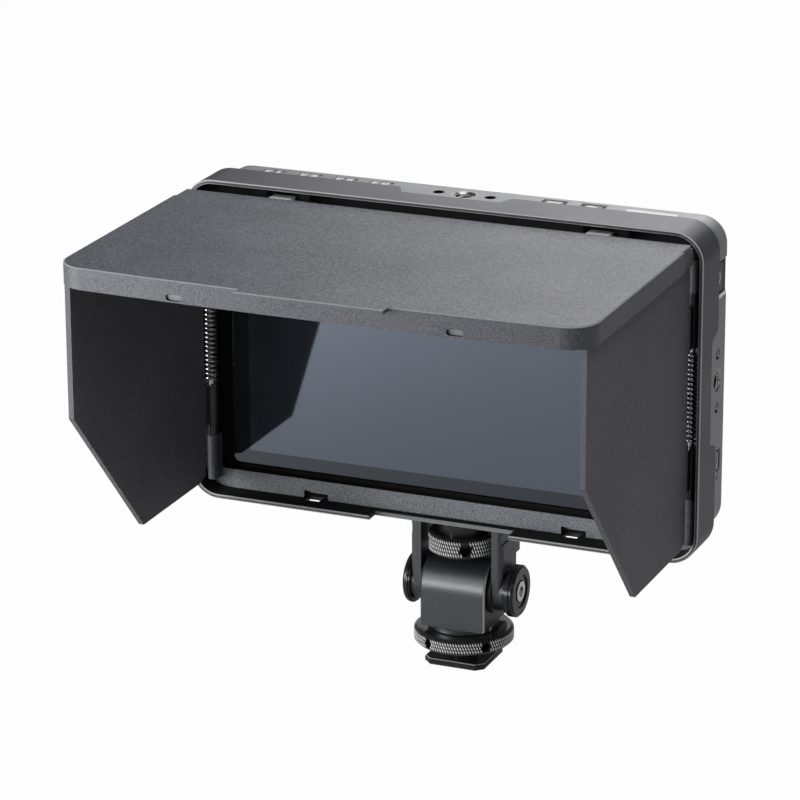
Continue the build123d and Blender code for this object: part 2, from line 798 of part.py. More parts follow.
# ---------------------------------------------------------------- screen stack
bezel_width = body_width - 2 * body_wall - 2 * bezel_side_gap
bezel_height = body_height - 2 * body_wall - 2 * bezel_side_gap
with BuildPart() as front_bezel:
    slab(bezel_width, bezel_height, body_corner - body_wall, body_front, body_front + bezel_thickness)
    slab(glass_width + 2 * glass_gap, glass_height + 2 * glass_gap, glass_corner, body_front, glass_back,
         mode=Mode.SUBTRACT)
    slab(panel_width + 2 * glass_gap, panel_height + 2 * glass_gap, 0.5, glass_back,
         body_front + bezel_thickness, mode=Mode.SUBTRACT)
    # Corner bosses behind the ledge clamp the tray against the posts of the housing.
    with BuildSketch(facing(glass_back)):
        with GridLocations(2 * case_screw_x, 2 * case_screw_z, 2, 2):
            Circle(case_boss_radius)
        RectangleRounded(bezel_width, bezel_height, body_corner - body_wall, mode=Mode.INTERSECT)
    extrude(amount=-(tray_front - glass_back))
    with BuildSketch(facing(tray_front)):
        with GridLocations(2 * case_screw_x, 2 * case_screw_z, 2, 2):
            Circle(case_screw_shank)
    extrude(amount=3.0, mode=Mode.SUBTRACT)
save(front_bezel, "front_bezel")

with BuildPart() as cover_glass:
    slab(glass_width, glass_height, glass_corner, glass_front, glass_back)
save(cover_glass, "cover_glass")

with BuildPart() as lcd_panel:
    slab(panel_width, panel_height, panel_corner, panel_front, panel_front + panel_thickness)
save(lcd_panel, "lcd_panel")

with BuildPart() as backlight:
    slab(panel_width, panel_height, panel_corner, backlight_front, backlight_front + backlight_thickness)
save(backlight, "backlight")

with BuildPart() as panel_tray:
    slab(body_width - 2 * (body_wall + tray_margin), body_height - 2 * (body_wall + tray_end_margin),
         body_corner - body_wall, tray_front, tray_back)
    with BuildSketch(facing(tray_front)):
        with GridLocations(tray_slot_pitch_x, tray_slot_pitch_z, 3, 2):
            SlotOverall(tray_slot_length, tray_slot_width)
        with GridLocations(2 * case_screw_x, 2 * case_screw_z, 2, 2):
            Circle(case_screw_shank)
    extrude(amount=-tray_thickness, mode=Mode.SUBTRACT)
save(panel_tray, "panel_tray")

standoff_x = board_width / 2 - standoff_inset
standoff_z = board_height / 2 - standoff_inset
with BuildPart() as board_standoffs:
    with BuildSketch(facing(tray_back)):
        with GridLocations(2 * standoff_x, 2 * standoff_z, 2, 2):
            Circle(standoff_radius)
    extrude(amount=-standoff_height)
save(board_standoffs, "board_standoffs")

with BuildPart() as main_board:
    slab(board_width, board_height, board_corner, board_front, board_back)
    with BuildSketch(facing(board_front)):
        with GridLocations(2 * standoff_x, 2 * standoff_z, 2, 2):
            Circle(standoff_bore_radius)
    extrude(amount=-board_thickness, mode=Mode.SUBTRACT)
save(main_board, "main_board")

with BuildPart() as board_chips:
    with BuildSketch(facing(board_back)):
        with Locations((0, chip_z)):
            Rectangle(chip_size, chip_size)
            with GridLocations(2 * memory_x, memory_pitch_z, 2, 2):
                Rectangle(memory_width, memory_height)
    extrude(amount=-chip_height)
save(board_chips, "board_chips")

with BuildPart() as heat_spreader:
    slab(spreader_width, spreader_height, 1.0, chip_back, body_inner_back - spreader_gap)
    contact_half = contact_pitch + contact_width / 2 + contact_block_margin
    block_between((-contact_half - spreader_contact_gap, chip_back, contact_z - contact_height),
                  (contact_half + spreader_contact_gap, body_inner_back, contact_z + contact_height),
                  mode=Mode.SUBTRACT)
save(heat_spreader, "heat_spreader")


# ---------------------------------------------------------------- buttons
def top_button(x, length, name):
    """One sprung key in the top wall: a cap through the wall and a flange under it."""
    with BuildPart() as button:
        with BuildSketch(top_plane(flange_bottom)):
            with Locations((x, button_row_depth)):
                Rectangle(length + 2 * flange_margin, top_button_width + 2 * flange_margin)
        extrude(amount=flange_thickness)
        with BuildSketch(top_plane(flange_top)):
            with Locations((x, button_row_depth)):
                Rectangle(length, top_button_width)
        extrude(amount=button_top - flange_top)
        chamfer(faces().sort_by(Axis.Z)[-1].edges(), 0.25)
    save(button, name)


for index, x in enumerate(function_button_x):
    top_button(x, function_button_length, f"function_button_{index + 1}")
for x, name in zip(menu_button_x, ("menu_button", "back_button")):
    top_button(x, menu_button_length, name)

power_face = body_half_x - power_bay_sink + power_button_rise
power_flange_outer = wall_inner_x - power_bay_sink - flange_gap
power_depth = power_button_depth
with BuildPart() as power_button:
    with BuildSketch(side_plane(power_flange_outer - flange_thickness)):
        with Locations((power_depth, power_button_z)):
            Rectangle(power_button_width + 2 * flange_margin, power_button_height + 2 * flange_margin)
    extrude(amount=flange_thickness)
    with BuildSketch(side_plane(power_flange_outer)):
        with Locations((power_depth, power_button_z)):
            RectangleRounded(power_button_width, power_button_height, 0.8)
    extrude(amount=power_face - power_flange_outer)
    with BuildSketch(side_plane(power_face)):
        with Locations((power_depth, power_button_z)):
            Circle(power_ring_radius)
            Circle(power_ring_radius - power_ring_wall, mode=Mode.SUBTRACT)
    extrude(amount=-power_ring_height, mode=Mode.SUBTRACT)
save(power_button, "power_button")

with BuildPart() as power_ring:
    with BuildSketch(side_plane(power_face - power_ring_height)):
        with Locations((power_depth, power_button_z)):
            Circle(power_ring_radius)
            Circle(power_ring_radius - power_ring_wall, mode=Mode.SUBTRACT)
    extrude(amount=power_ring_height)
save(power_ring, "power_ring")

power_switch_top = power_flange_outer - flange_thickness - button_travel - flange_gap
with BuildPart() as key_switches:
    for x, length in top_buttons:
        with BuildSketch(top_plane(switch_board_top)):
            with Locations((x, button_row_depth)):
                Rectangle(switch_size, switch_size)
        extrude(amount=switch_height)
    with BuildSketch(side_plane(power_switch_top - switch_height)):
        with Locations((power_depth, power_button_z)):
            Rectangle(switch_size, switch_size)
    extrude(amount=switch_height)
save(key_switches, "key_switches")

with BuildPart() as switch_boards:
    for row in (function_button_x, menu_button_x):
        low_x = row[0] - switch_board_overhang
        high_x = row[-1] + switch_board_overhang
        block_between((low_x, tray_back, switch_board_top - switch_board_thickness),
                      (high_x, body_inner_back, switch_board_top))
    block_between((power_switch_top - switch_height - switch_board_thickness, tray_back,
                   power_button_z - power_board_half_height),
                  (power_switch_top - switch_height, body_inner_back,
                   power_button_z + power_board_half_height))
save(switch_boards, "switch_boards")

# ---------------------------------------------------------------- sockets
with BuildPart() as side_port:
    with BuildSketch(side_plane(body_half_x - side_port_depth)):
        with Locations((socket_row_depth + 2, side_port_z)):
            SlotOverall(side_port_length, side_port_width, rotation=90)
    extrude(amount=side_port_depth - 0.2)
    with BuildSketch(side_plane(body_half_x)):
        with Locations((socket_row_depth + 2, side_port_z)):
            SlotOverall(side_port_length - 2 * side_port_wall, side_port_width - 2 * side_port_wall,
                        rotation=90)
            Rectangle(0.7, side_port_length - 2.4, mode=Mode.SUBTRACT)
    extrude(amount=-(side_port_depth - 0.8), mode=Mode.SUBTRACT)
save(side_port, "side_port")

with BuildPart() as hdmi_sockets:
    for z in hdmi_z:
        with BuildSketch(side_plane(-body_half_x + 0.2)):
            with Locations((socket_row_depth, z)):
                Rectangle(hdmi_width, hdmi_length)
        extrude(amount=hdmi_depth)
        with BuildSketch(side_plane(-body_half_x + 0.2)):
            with Locations((socket_row_depth, z)):
                Rectangle(hdmi_width - 2 * hdmi_wall, hdmi_length - 2 * hdmi_wall)
            with Locations((socket_row_depth, z)):
                Rectangle(1.6, hdmi_length - 4, mode=Mode.SUBTRACT)
        extrude(amount=hdmi_depth - 1, mode=Mode.SUBTRACT)
save(hdmi_sockets, "hdmi_sockets")

with BuildPart() as dc_socket:
    with BuildSketch(side_plane(-body_half_x + 0.2)):
        with Locations((socket_row_depth, dc_z)):
            Circle(dc_socket_radius)
    extrude(amount=socket_depth)
    with BuildSketch(side_plane(-body_half_x + 0.2)):
        with Locations((socket_row_depth, dc_z)):
            Circle(dc_bore_radius)
            Circle(dc_pin_radius, mode=Mode.SUBTRACT)
    extrude(amount=socket_depth - 1, mode=Mode.SUBTRACT)
save(dc_socket, "dc_socket")

with BuildPart() as audio_socket:
    with BuildSketch(side_plane(-body_half_x + 0.2)):
        with Locations((socket_row_depth, audio_z)):
            Circle(audio_radius)
            Circle(audio_bore_radius, mode=Mode.SUBTRACT)
    extrude(amount=socket_depth)
save(audio_socket, "audio_socket")

# ---------------------------------------------------------------- battery plate
plate_front = body_back
plate_back = body_back + plate_thickness
with BuildPart() as battery_plate:
    slab(plate_width, plate_height, plate_corner, plate_front, plate_back)
    for side in (-1, 1):
        for end in (-1, 1):
            rail_x = side * (plate_width / 2 - rail_inset)
            rail_z = end * rail_offset
            block_between((min(rail_x, rail_x - side * rail_thickness), plate_back,
                           rail_z - rail_length / 2),
                          (max(rail_x, rail_x - side * rail_thickness), plate_back + rail_height,
                           rail_z + rail_length / 2))
            hook_x = rail_x - side * (rail_thickness + rail_hook)
            block_between((min(rail_x, hook_x), plate_back + rail_height - 1.2,
                           rail_z - rail_length / 2),
                          (max(rail_x, hook_x), plate_back + rail_height, rail_z + rail_length / 2))
    # Bay that the latch slides down in, the contact window and the screw holes.
    slab_mid = latch_z - latch_travel / 2
    with BuildSketch(facing(plate_back)):
        with Locations((0, slab_mid)):
            Rectangle(latch_width + 0.6, latch_height + latch_travel + 0.6)
    extrude(amount=plate_thickness - 0.5, mode=Mode.SUBTRACT)
    with BuildSketch(facing(plate_back)):
        with Locations((0, contact_z)):
            Rectangle(2 * contact_pitch + contact_width + 2 * contact_opening_margin,
                      contact_height + contact_opening_margin)
    extrude(amount=plate_thickness, mode=Mode.SUBTRACT)
    with BuildSketch(facing(plate_back)):
        with GridLocations(2 * plate_screw_x, 2 * plate_screw_z, 2, 2):
            Circle(1.1)
    extrude(amount=plate_thickness, mode=Mode.SUBTRACT)
    with BuildSketch(facing(plate_back)):
        with GridLocations(2 * plate_screw_x, 2 * plate_screw_z, 2, 2):
            Circle(2.1)
    extrude(amount=1.2, mode=Mode.SUBTRACT)
save(battery_plate, "battery_plate")

latch_front = plate_back - (plate_thickness - 0.5) + 0.1
with BuildPart() as battery_latch:
    block_between((-latch_width / 2, latch_front, latch_z - latch_height / 2),
                  (latch_width / 2, plate_back - 0.1, latch_z + latch_height / 2))
    block_between((-latch_width / 2 + 1, plate_back - 0.1, latch_z - latch_height / 2 + 1),
                  (latch_width / 2 - 1, latch_front + latch_thickness, latch_z + latch_height / 2 - 3))
    for step in range(3):
        block_between((-latch_width / 2 + 2, latch_front + latch_thickness,
                       latch_z - latch_height / 2 + 1.3 + step * 1.1),
                      (latch_width / 2 - 2, latch_front + latch_thickness + 0.35,
                       latch_z - latch_height / 2 + 1.8 + step * 1.1))
save(battery_latch, "battery_latch")

with BuildPart() as battery_contacts:
    with BuildSketch(facing(board_back)):
        with Locations((0, contact_z)):
            Rectangle(2 * (contact_pitch + contact_block_margin) + contact_width,
                      contact_height + contact_block_margin)
    extrude(amount=-(plate_front - board_back))
    with BuildSketch(facing(plate_front)):
        with Locations((0, contact_z)):
            with GridLocations(contact_pitch, 1, 3, 1):
                Rectangle(contact_width, contact_height)
    extrude(amount=-(plate_thickness + contact_proud))
save(battery_contacts, "battery_contacts")

with BuildPart() as case_screws:
    with BuildSketch(facing(body_back - 0.2)):
        with GridLocations(2 * case_screw_x, 2 * case_screw_z, 2, 2):
            Circle(case_screw_radius)
    extrude(amount=1.2)
    with BuildSketch(facing(body_back - 1.4)):
        with GridLocations(2 * case_screw_x, 2 * case_screw_z, 2, 2):
            Circle(case_screw_shank)
    extrude(amount=body_back - 1.4 - tray_front + case_screw_reach)
    with BuildSketch(facing(body_back - 0.2)):
        with GridLocations(2 * case_screw_x, 2 * case_screw_z, 2, 2):
            Rectangle(2.6, 0.6)
            Rectangle(0.6, 2.6)
    extrude(amount=0.6, mode=Mode.SUBTRACT)
save(case_screws, "case_screws")

with BuildPart() as plate_screws:
    with BuildSketch(facing(plate_back)):
        with GridLocations(2 * plate_screw_x, 2 * plate_screw_z, 2, 2):
            Circle(2.0)
    extrude(amount=1.2)
    with BuildSketch(facing(plate_back - 1.2)):
        with GridLocations(2 * plate_screw_x, 2 * plate_screw_z, 2, 2):
            Circle(0.95)
    extrude(amount=plate_thickness + back_wall - 1.4)
save(plate_screws, "plate_screws")

# ---------------------------------------------------------------- hood frame
pin_places = ((-left_pin_x, left_pin_depth), (right_pin_x, right_pin_depth))
with BuildPart() as hood_frame:
    slab(rim_width, rim_height, rim_corner, 0, skirt_depth)
    slab(rim_width - 2 * rim_wall, rim_height - 2 * rim_wall, rim_corner - rim_wall, 0, rim_recess,
         mode=Mode.SUBTRACT)
    chamfer(faces().sort_by(Axis.Y)[0].edges(), rim_edge_chamfer)
    slab(window_width, window_height, window_corner, 0, skirt_depth, mode=Mode.SUBTRACT)
    slab(body_width + 2 * body_clearance, body_height + 2 * body_clearance, body_corner + body_clearance,
         face_back, skirt_depth, mode=Mode.SUBTRACT)
    # The skirt stops short beside each threaded hole: top, bottom and right.
    notch_back = thread_notch_width + 2 * thread_notch_slope
    notch_flare = notch_back / 2 + 2 * thread_notch_round
    notch_overrun = 1.0
    with BuildSketch(top_plane(-rim_half_z - 1)):
        with BuildLine():
            Polyline((-thread_notch_width / 2, face_back), (thread_notch_width / 2, face_back),
                     (notch_back / 2, skirt_depth), (notch_flare, skirt_depth),
                     (notch_flare, skirt_depth + notch_overrun), (-notch_flare, skirt_depth + notch_overrun),
                     (-notch_flare, skirt_depth), (-notch_back / 2, skirt_depth), close=True)
        make_face()
        fillet(vertices().filter_by(lambda corner: abs(corner.X) < notch_flare - 0.1), thread_notch_round)
    extrude(amount=rim_height + 2, mode=Mode.SUBTRACT)
    with BuildSketch(side_plane(rim_half_x - 3)):
        with BuildLine():
            Polyline((face_back, -thread_notch_width / 2), (skirt_depth, -notch_back / 2),
                     (skirt_depth, -notch_flare), (skirt_depth + notch_overrun, -notch_flare),
                     (skirt_depth + notch_overrun, notch_flare), (skirt_depth, notch_flare),
                     (skirt_depth, notch_back / 2), (face_back, thread_notch_width / 2), close=True)
        make_face()
        fillet(vertices().filter_by(lambda corner: abs(corner.Y) < notch_flare - 0.1), thread_notch_round)
    extrude(amount=6, mode=Mode.SUBTRACT)
    # Finger notch in the lower shelf.
    block_between((-notch_width / 2, -1, -rim_half_z - 1),
                  (notch_width / 2, notch_depth, -rim_half_z + rim_wall + 0.01), mode=Mode.SUBTRACT)
    # Latch windows through the foot of the face, each with a narrower slot down through the shelf.
    shelf_z = -rim_half_z + rim_wall
    for side in (-1, 1):
        middle = side * latch_window_x + latch_window_offset
        block_between((middle - latch_window_width / 2, rim_recess - 0.5, shelf_z - 0.1),
                      (middle + latch_window_width / 2, face_back, shelf_z + latch_window_height),
                      mode=Mode.SUBTRACT)
        slot_middle = middle + latch_hole_offset
        block_between((slot_middle - latch_hole_width / 2, latch_hole_front, -rim_half_z - 1),
                      (slot_middle + latch_hole_width / 2, latch_hole_rear, shelf_z + 0.1),
                      mode=Mode.SUBTRACT)
    # Posts on the face that hold the two upright flap pins.
    for pin_x, pin_depth in pin_places:
        for low, high in ((-lug_lower_end, -collar_outer_z - collar_gap),
                          (collar_outer_z + collar_gap, lug_upper_end)):
            upright(pin_x, pin_depth, lug_half_width, low, high)
            block_between((pin_x - lug_half_width, pin_depth, low),
                          (pin_x + lug_half_width, rim_recess + 0.5, high))
            upright(pin_x, pin_depth, flap_pin_radius, low, high, mode=Mode.SUBTRACT)
    # Lugs under the top rim that hold the lid's hinge pins.
    for side in (-1, 1):
        for lug_x in (pin_lug_inner_x, pin_lug_outer_x):
            middle = side * lug_x
            block_between((middle - pin_lug_width / 2, lid_pin_depth - 1.4, lid_pin_z - pin_lug_drop),
                          (middle + pin_lug_width / 2, rim_recess + 0.5, rim_half_z - rim_wall + 0.3))
        with BuildSketch(side_plane(side * (pin_lug_inner_x - pin_lug_width))):
            with Locations((lid_pin_depth, lid_pin_z)):
                Circle(lid_pin_radius)
        extrude(amount=side * (pin_lug_outer_x - pin_lug_inner_x + 2 * pin_lug_width),
                mode=Mode.SUBTRACT)
save(hood_frame, "hood_frame")


# ---------------------------------------------------------------- flaps
def flap(side, pin_x, pin_depth, name):
    """One side flap: a cut-cornered plate with two knuckles round its upright pin."""
    near = side * flap_inner_x
    far = side * flap_outer_x
    with BuildPart() as plate:
        with BuildSketch(side_plane(min(near, far))):
            with BuildLine():
                Polyline((-flap_rear, flap_shoulder_top), (-flap_shoulder_rear, flap_shoulder_top),
                         (-flap_shoulder_rear, flap_top), (-flap_shoulder_front, flap_top),
                         (-flap_shoulder_front, flap_shoulder_top), (-flap_front, flap_shoulder_top),
                         (-flap_front, flap_cut_z), (-flap_cut_y, flap_bottom),
                         (-flap_rear - flap_heel_length, flap_bottom),
                         (-flap_rear, flap_bottom + flap_heel_rise), close=True)
            make_face()
        extrude(amount=flap_thickness)
        for low in (-knuckle_outer_z, knuckle_inner_z):
            block_between((min(near, far), -flap_rear - 0.5, low),
                          (max(near, far), pin_depth, low + knuckle_height))
            upright(side * pin_x, pin_depth, knuckle_radius, low, low + knuckle_height)
            upright(side * pin_x, pin_depth, flap_pin_radius + shaft_clearance, low,
                    low + knuckle_height, mode=Mode.SUBTRACT)
    save(plate, name)


flap(-1, left_pin_x, left_pin_depth, "flap_left")
flap(1, right_pin_x, right_pin_depth, "flap_right")

for name, (pin_x, pin_depth) in zip(("left", "right"), pin_places):
    with BuildPart() as flap_pin:
        upright(pin_x, pin_depth, flap_pin_radius, -lug_lower_end + 0.5, lug_upper_end - 0.5)
    save(flap_pin, f"flap_pin_{name}")

    # A close-wound torsion spring: each turn is one ridge of the wound sleeve.
    coil_wire = (coil_radius - coil_bore_radius) / 2
    with BuildPart() as flap_spring:
        upright(pin_x, pin_depth, coil_radius - coil_wire, -coil_half, coil_half)
        spring_axis = Axis((pin_x, rim_y + pin_depth, mid_z), (0, 0, 1))
        for turn in range(coil_count):
            height = mid_z - coil_half + (turn + 0.5) * coil_pitch
            ridge = Plane(origin=(pin_x, rim_y + pin_depth, height), x_dir=(1, 0, 0), z_dir=(0, -1, 0))
            with BuildSketch(ridge):
                with Locations((coil_radius - coil_wire, 0)):
                    Circle(coil_wire)
            revolve(axis=spring_axis)
        # The fixed leg of the spring runs back from the middle turn to the frame's face.
        with BuildSketch(facing(pin_depth)):
            with Locations((pin_x, 0)):
                Circle(coil_wire)
        extrude(amount=-(rim_recess - pin_depth))
        upright(pin_x, pin_depth, coil_bore_radius, -coil_half - 1, coil_half + 1, mode=Mode.SUBTRACT)
    save(flap_spring, f"flap_spring_{name}")

with BuildPart() as hinge_collars:
    for pin_x, pin_depth in pin_places:
        for low in (-collar_outer_z, knuckle_outer_z + collar_gap):
            high = low + collar_outer_z - knuckle_outer_z - collar_gap
            upright(pin_x, pin_depth, knuckle_radius, low, high)
            upright(pin_x, pin_depth, flap_pin_radius, low, high, mode=Mode.SUBTRACT)
save(hinge_collars, "hinge_collars")


# ---------------------------------------------------------------- lid
def lid_outline(inset):
    """Plan of the lid, drawn inwards by an inset: square rear, bowed front, notched rear corners."""
    half = lid_half_width - inset
    rear_half = lid_rear_half_width - inset
    front = -lid_front + inset
    with BuildLine() as outline:
        Polyline((-half, front), (-half, -lid_rear_notch), (-rear_half, -lid_rear_notch),
                 (-rear_half, -lid_rear), (rear_half, -lid_rear), (rear_half, -lid_rear_notch),
                 (half, -lid_rear_notch), (half, front))
        ThreePointArc((half, front), (0, front - lid_bow), (-half, front))
    make_face(outline.edges())


with BuildPart() as lid:
    with BuildSketch(top_plane(lip_bottom)):
        lid_outline(0)
        fillet(vertices().group_by(Axis.Y)[0], lid_corner)
    extrude(amount=lip_height)
    # Thin side strips that carry the lip on towards the rim.
    for side in (-1, 1):
        inner = side * (lid_rear_half_width - lip_wall)
        outer = side * lid_rear_half_width
        block_between((min(inner, outer), -lid_rear_notch, lip_bottom),
                      (max(inner, outer), -lip_rear, lid_under))
    # Thumb tab along the middle of the front edge.
    block_between((-tab_half_width, -lid_front - lid_bow - tab_reach, lid_top - tab_thickness),
                  (tab_half_width, -lid_front + 1, lid_top))
    chamfer(faces().sort_by(Axis.Z)[-1].edges(), 0.3)
    with BuildSketch(top_plane(lip_bottom)):
        lid_outline(lip_wall)
        fillet(vertices().group_by(Axis.Y)[0], lid_corner - lip_wall)
        # The lip stops at the sides: the rear edge stays open.
        with Locations((0, -lid_rear)):
            Rectangle(2 * (lid_rear_half_width - lip_wall), 2 * lip_wall)
    extrude(amount=lip_height - lid_thickness, mode=Mode.SUBTRACT)
    # Two short slots sunk in the front lip.
    slot_front = lid_front + lid_bow * (1 - (lip_slot_x / lid_half_width) ** 2)
    for side in (-1, 1):
        with BuildSketch(facing(-slot_front + lip_slot_sink)):
            with Locations((side * lip_slot_x, lip_slot_z)):
                SlotOverall(lip_slot_width, lip_slot_height)
        extrude(amount=lip_wall, mode=Mode.SUBTRACT)
save(lid, "lid")

with BuildPart() as lid_leaves:
    for side in (-1, 1):
        start = side * (leaf_x - leaf_width / 2)
        with BuildSketch(side_plane(start)):
            with BuildLine():
                Polyline((-lid_rear - leaf_tail, lid_under), (-lid_rear + 0.2, lid_under),
                         (-lid_rear + 0.2, lid_pin_z + leaf_knuckle_radius),
                         (lid_pin_depth, lid_pin_z + leaf_knuckle_radius),
                         (lid_pin_depth, lid_pin_z + leaf_knuckle_radius - leaf_thickness),
                         (-lid_rear + 1.2, lid_pin_z + leaf_knuckle_radius - leaf_thickness),
                         (-lid_rear + 1.2, lid_under - leaf_thickness),
                         (-lid_rear - leaf_tail, lid_under - leaf_thickness), close=True)
            make_face()
            with Locations((lid_pin_depth, lid_pin_z)):
                Circle(leaf_knuckle_radius)
                Circle(lid_pin_radius + shaft_clearance, mode=Mode.SUBTRACT)
        extrude(amount=side * leaf_width)
save(lid_leaves, "lid_leaves")

with BuildPart() as lid_pins:
    for side in (-1, 1):
        start = side * (pin_lug_inner_x - pin_lug_width / 2)
        with BuildSketch(side_plane(start)):
            with Locations((lid_pin_depth, lid_pin_z)):
                Circle(lid_pin_radius)
        extrude(amount=side * (pin_lug_outer_x - pin_lug_inner_x + pin_lug_width))
save(lid_pins, "lid_pins")
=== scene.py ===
import bpy
import bmesh
from math import cos, pi, radians, sin, tau
from mathutils import Matrix, Vector


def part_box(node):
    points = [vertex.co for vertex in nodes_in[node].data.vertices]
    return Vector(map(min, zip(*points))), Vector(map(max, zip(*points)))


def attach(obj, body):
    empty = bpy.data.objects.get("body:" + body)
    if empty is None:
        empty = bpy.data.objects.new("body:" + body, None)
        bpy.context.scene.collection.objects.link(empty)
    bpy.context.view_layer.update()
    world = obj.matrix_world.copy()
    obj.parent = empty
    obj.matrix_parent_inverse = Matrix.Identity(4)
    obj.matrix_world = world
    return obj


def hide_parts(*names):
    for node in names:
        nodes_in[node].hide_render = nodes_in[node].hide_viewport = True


# Camera field monitor with a sun hood: finishes, small pieces, light and camera.
# Lengths are metres in the row frame: +X right, +Y back, +Z up, foot underside at 0.
# Masks and printed marks are in millimetres; the hood's are given from its rim's front plane and mid-screen.

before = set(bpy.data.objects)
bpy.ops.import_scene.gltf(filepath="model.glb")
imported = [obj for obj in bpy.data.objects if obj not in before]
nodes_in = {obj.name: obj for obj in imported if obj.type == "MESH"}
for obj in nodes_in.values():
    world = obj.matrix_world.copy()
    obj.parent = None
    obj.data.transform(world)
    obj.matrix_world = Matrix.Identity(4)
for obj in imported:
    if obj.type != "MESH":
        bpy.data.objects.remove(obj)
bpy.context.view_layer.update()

MM = 0.001


def middle(name):
    """Middle of one node's box."""
    low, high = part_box(name)
    return (Vector(low) + Vector(high)) / 2


RIM_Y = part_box("hood_frame")[0][1]
MID_Z = middle("hood_frame").z
RIM_HALF_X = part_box("hood_frame")[1][0]
RIM_HALF_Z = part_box("hood_frame")[1][2] - MID_Z
RIM_CORNER = 8.4 * MM

FLOAT = "NodeSocketFloat"
WHOLE = "NodeSocketInt"
COLOR = "NodeSocketColor"
VECTOR = "NodeSocketVector"


def arithmetic(tree, operation, first, second=None, clamp=False):
    """A Math node fed by sockets or plain numbers."""
    node = tree.nodes.new("ShaderNodeMath")
    node.operation = operation
    node.use_clamp = clamp
    for index, value in enumerate((first, second)):
        if isinstance(value, (int, float)):
            node.inputs[index].default_value = value
        elif value is not None:
            tree.links.new(value, node.inputs[index])
    return node.outputs[0]


# ---------------------------------------------------------------- camera, floor and light
CAMERA_DISTANCE = 1075.911 * MM
CAMERA_SHIFT_RIGHT = -10.199 * MM
CAMERA_SHIFT_UP = -8.1695 * MM
CAMERA_LENS = 178.195


def place_camera():
    """Long lens from the front, above and to the right, aimed near the middle of the rim."""
    azimuth = radians(22.880)
    elevation = radians(18.752)
    roll = radians(0.2426)
    back = Vector((sin(azimuth) * cos(elevation), -cos(azimuth) * cos(elevation), sin(elevation)))
    level_right = Vector((cos(azimuth), sin(azimuth), 0.0))
    level_up = back.cross(level_right)
    right = level_right * cos(roll) - level_up * sin(roll)
    up = level_right * sin(roll) + level_up * cos(roll)
    shift = right * CAMERA_SHIFT_RIGHT + up * CAMERA_SHIFT_UP + back * CAMERA_DISTANCE
    place = Vector((0.0, RIM_Y, MID_Z)) + shift
    data = bpy.data.cameras.new("front_camera")
    data.sensor_width = 36.0
    data.lens = CAMERA_LENS
    data.clip_start = 0.05
    data.clip_end = 50.0
    camera = bpy.data.objects.new("front_camera", data)
    bpy.context.collection.objects.link(camera)
    turn = Matrix((right, up, back)).transposed().to_4x4()
    camera.matrix_world = Matrix.Translation(place) @ turn
    bpy.context.scene.camera = camera


FLOOR_SEEN = 0.98
FLOOR_IN_MIRRORS = 0.1
FLOOR_GREY = 0.55
WORLD_SEEN = 1.0
WORLD_IN_MIRRORS = 0.12
WORLD_LIGHT = 0.05


def seen_directly(tree, camera_share, mirror_share):
    """How white a ray finds the background: camera and glass rays, mirror rays, 0 for all the rest."""
    path = tree.nodes.new("ShaderNodeLightPath")
    straight = arithmetic(tree, "MAXIMUM", path.outputs["Is Camera Ray"], path.outputs["Is Transmission Ray"])
    return arithmetic(tree, "MAXIMUM", arithmetic(tree, "MULTIPLY", straight, camera_share),
                      arithmetic(tree, "MULTIPLY", path.outputs["Is Glossy Ray"], mirror_share))


def lay_floor():
    """White sweep under the object, which still takes a faint shadow."""
    mesh = bpy.data.meshes.new("studio_floor")
    half = 6.0
    level = -0.0004
    corners = [(-half, -half, level), (half, -half, level), (half, half, level), (-half, half, level)]
    mesh.from_pydata(corners, [], [(0, 1, 2, 3)])
    floor = bpy.data.objects.new("studio_floor", mesh)
    bpy.context.collection.objects.link(floor)
    material = bpy.data.materials.new("floor_paper")
    material.use_nodes = True
    tree = material.node_tree
    tree.nodes.clear()
    matte = tree.nodes.new("ShaderNodeBsdfDiffuse")
    matte.inputs["Color"].default_value = (FLOOR_GREY, FLOOR_GREY, FLOOR_GREY, 1)
    glow = tree.nodes.new("ShaderNodeEmission")
    glow.inputs["Strength"].default_value = 1.0
    mix = tree.nodes.new("ShaderNodeMixShader")
    output = tree.nodes.new("ShaderNodeOutputMaterial")
    tree.links.new(seen_directly(tree, FLOOR_SEEN, FLOOR_IN_MIRRORS), mix.inputs["Fac"])
    tree.links.new(matte.outputs[0], mix.inputs[1])
    tree.links.new(glow.outputs[0], mix.inputs[2])
    tree.links.new(mix.outputs[0], output.inputs["Surface"])
    mesh.materials.append(material)


def set_world():
    """White surroundings, seen at full white and lighting only faintly."""
    world = bpy.data.worlds.new("studio_white")
    bpy.context.scene.world = world
    world.use_nodes = True
    tree = world.node_tree
    tree.nodes.clear()
    soft = tree.nodes.new("ShaderNodeBackground")
    soft.inputs["Strength"].default_value = WORLD_LIGHT
    white = tree.nodes.new("ShaderNodeBackground")
    white.inputs["Strength"].default_value = 1.0
    for background in (soft, white):
        background.inputs["Color"].default_value = (1, 1, 1, 1)
    mix = tree.nodes.new("ShaderNodeMixShader")
    output = tree.nodes.new("ShaderNodeOutputWorld")
    tree.links.new(seen_directly(tree, WORLD_SEEN, WORLD_IN_MIRRORS), mix.inputs["Fac"])
    tree.links.new(soft.outputs[0], mix.inputs[1])
    tree.links.new(white.outputs[0], mix.inputs[2])
    tree.links.new(mix.outputs[0], output.inputs["Surface"])


def hang_light(name, place, aim, size, power):
    """One soft square lamp, out of the camera's sight."""
    data = bpy.data.lights.new(name, "AREA")
    data.shape = "SQUARE"
    data.size = size
    data.energy = power
    lamp = bpy.data.objects.new(name, data)
    bpy.context.collection.objects.link(lamp)
    lamp.location = place
    lamp.rotation_euler = (Vector(aim) - Vector(place)).to_track_quat("-Z", "Y").to_euler()
    lamp.visible_camera = False


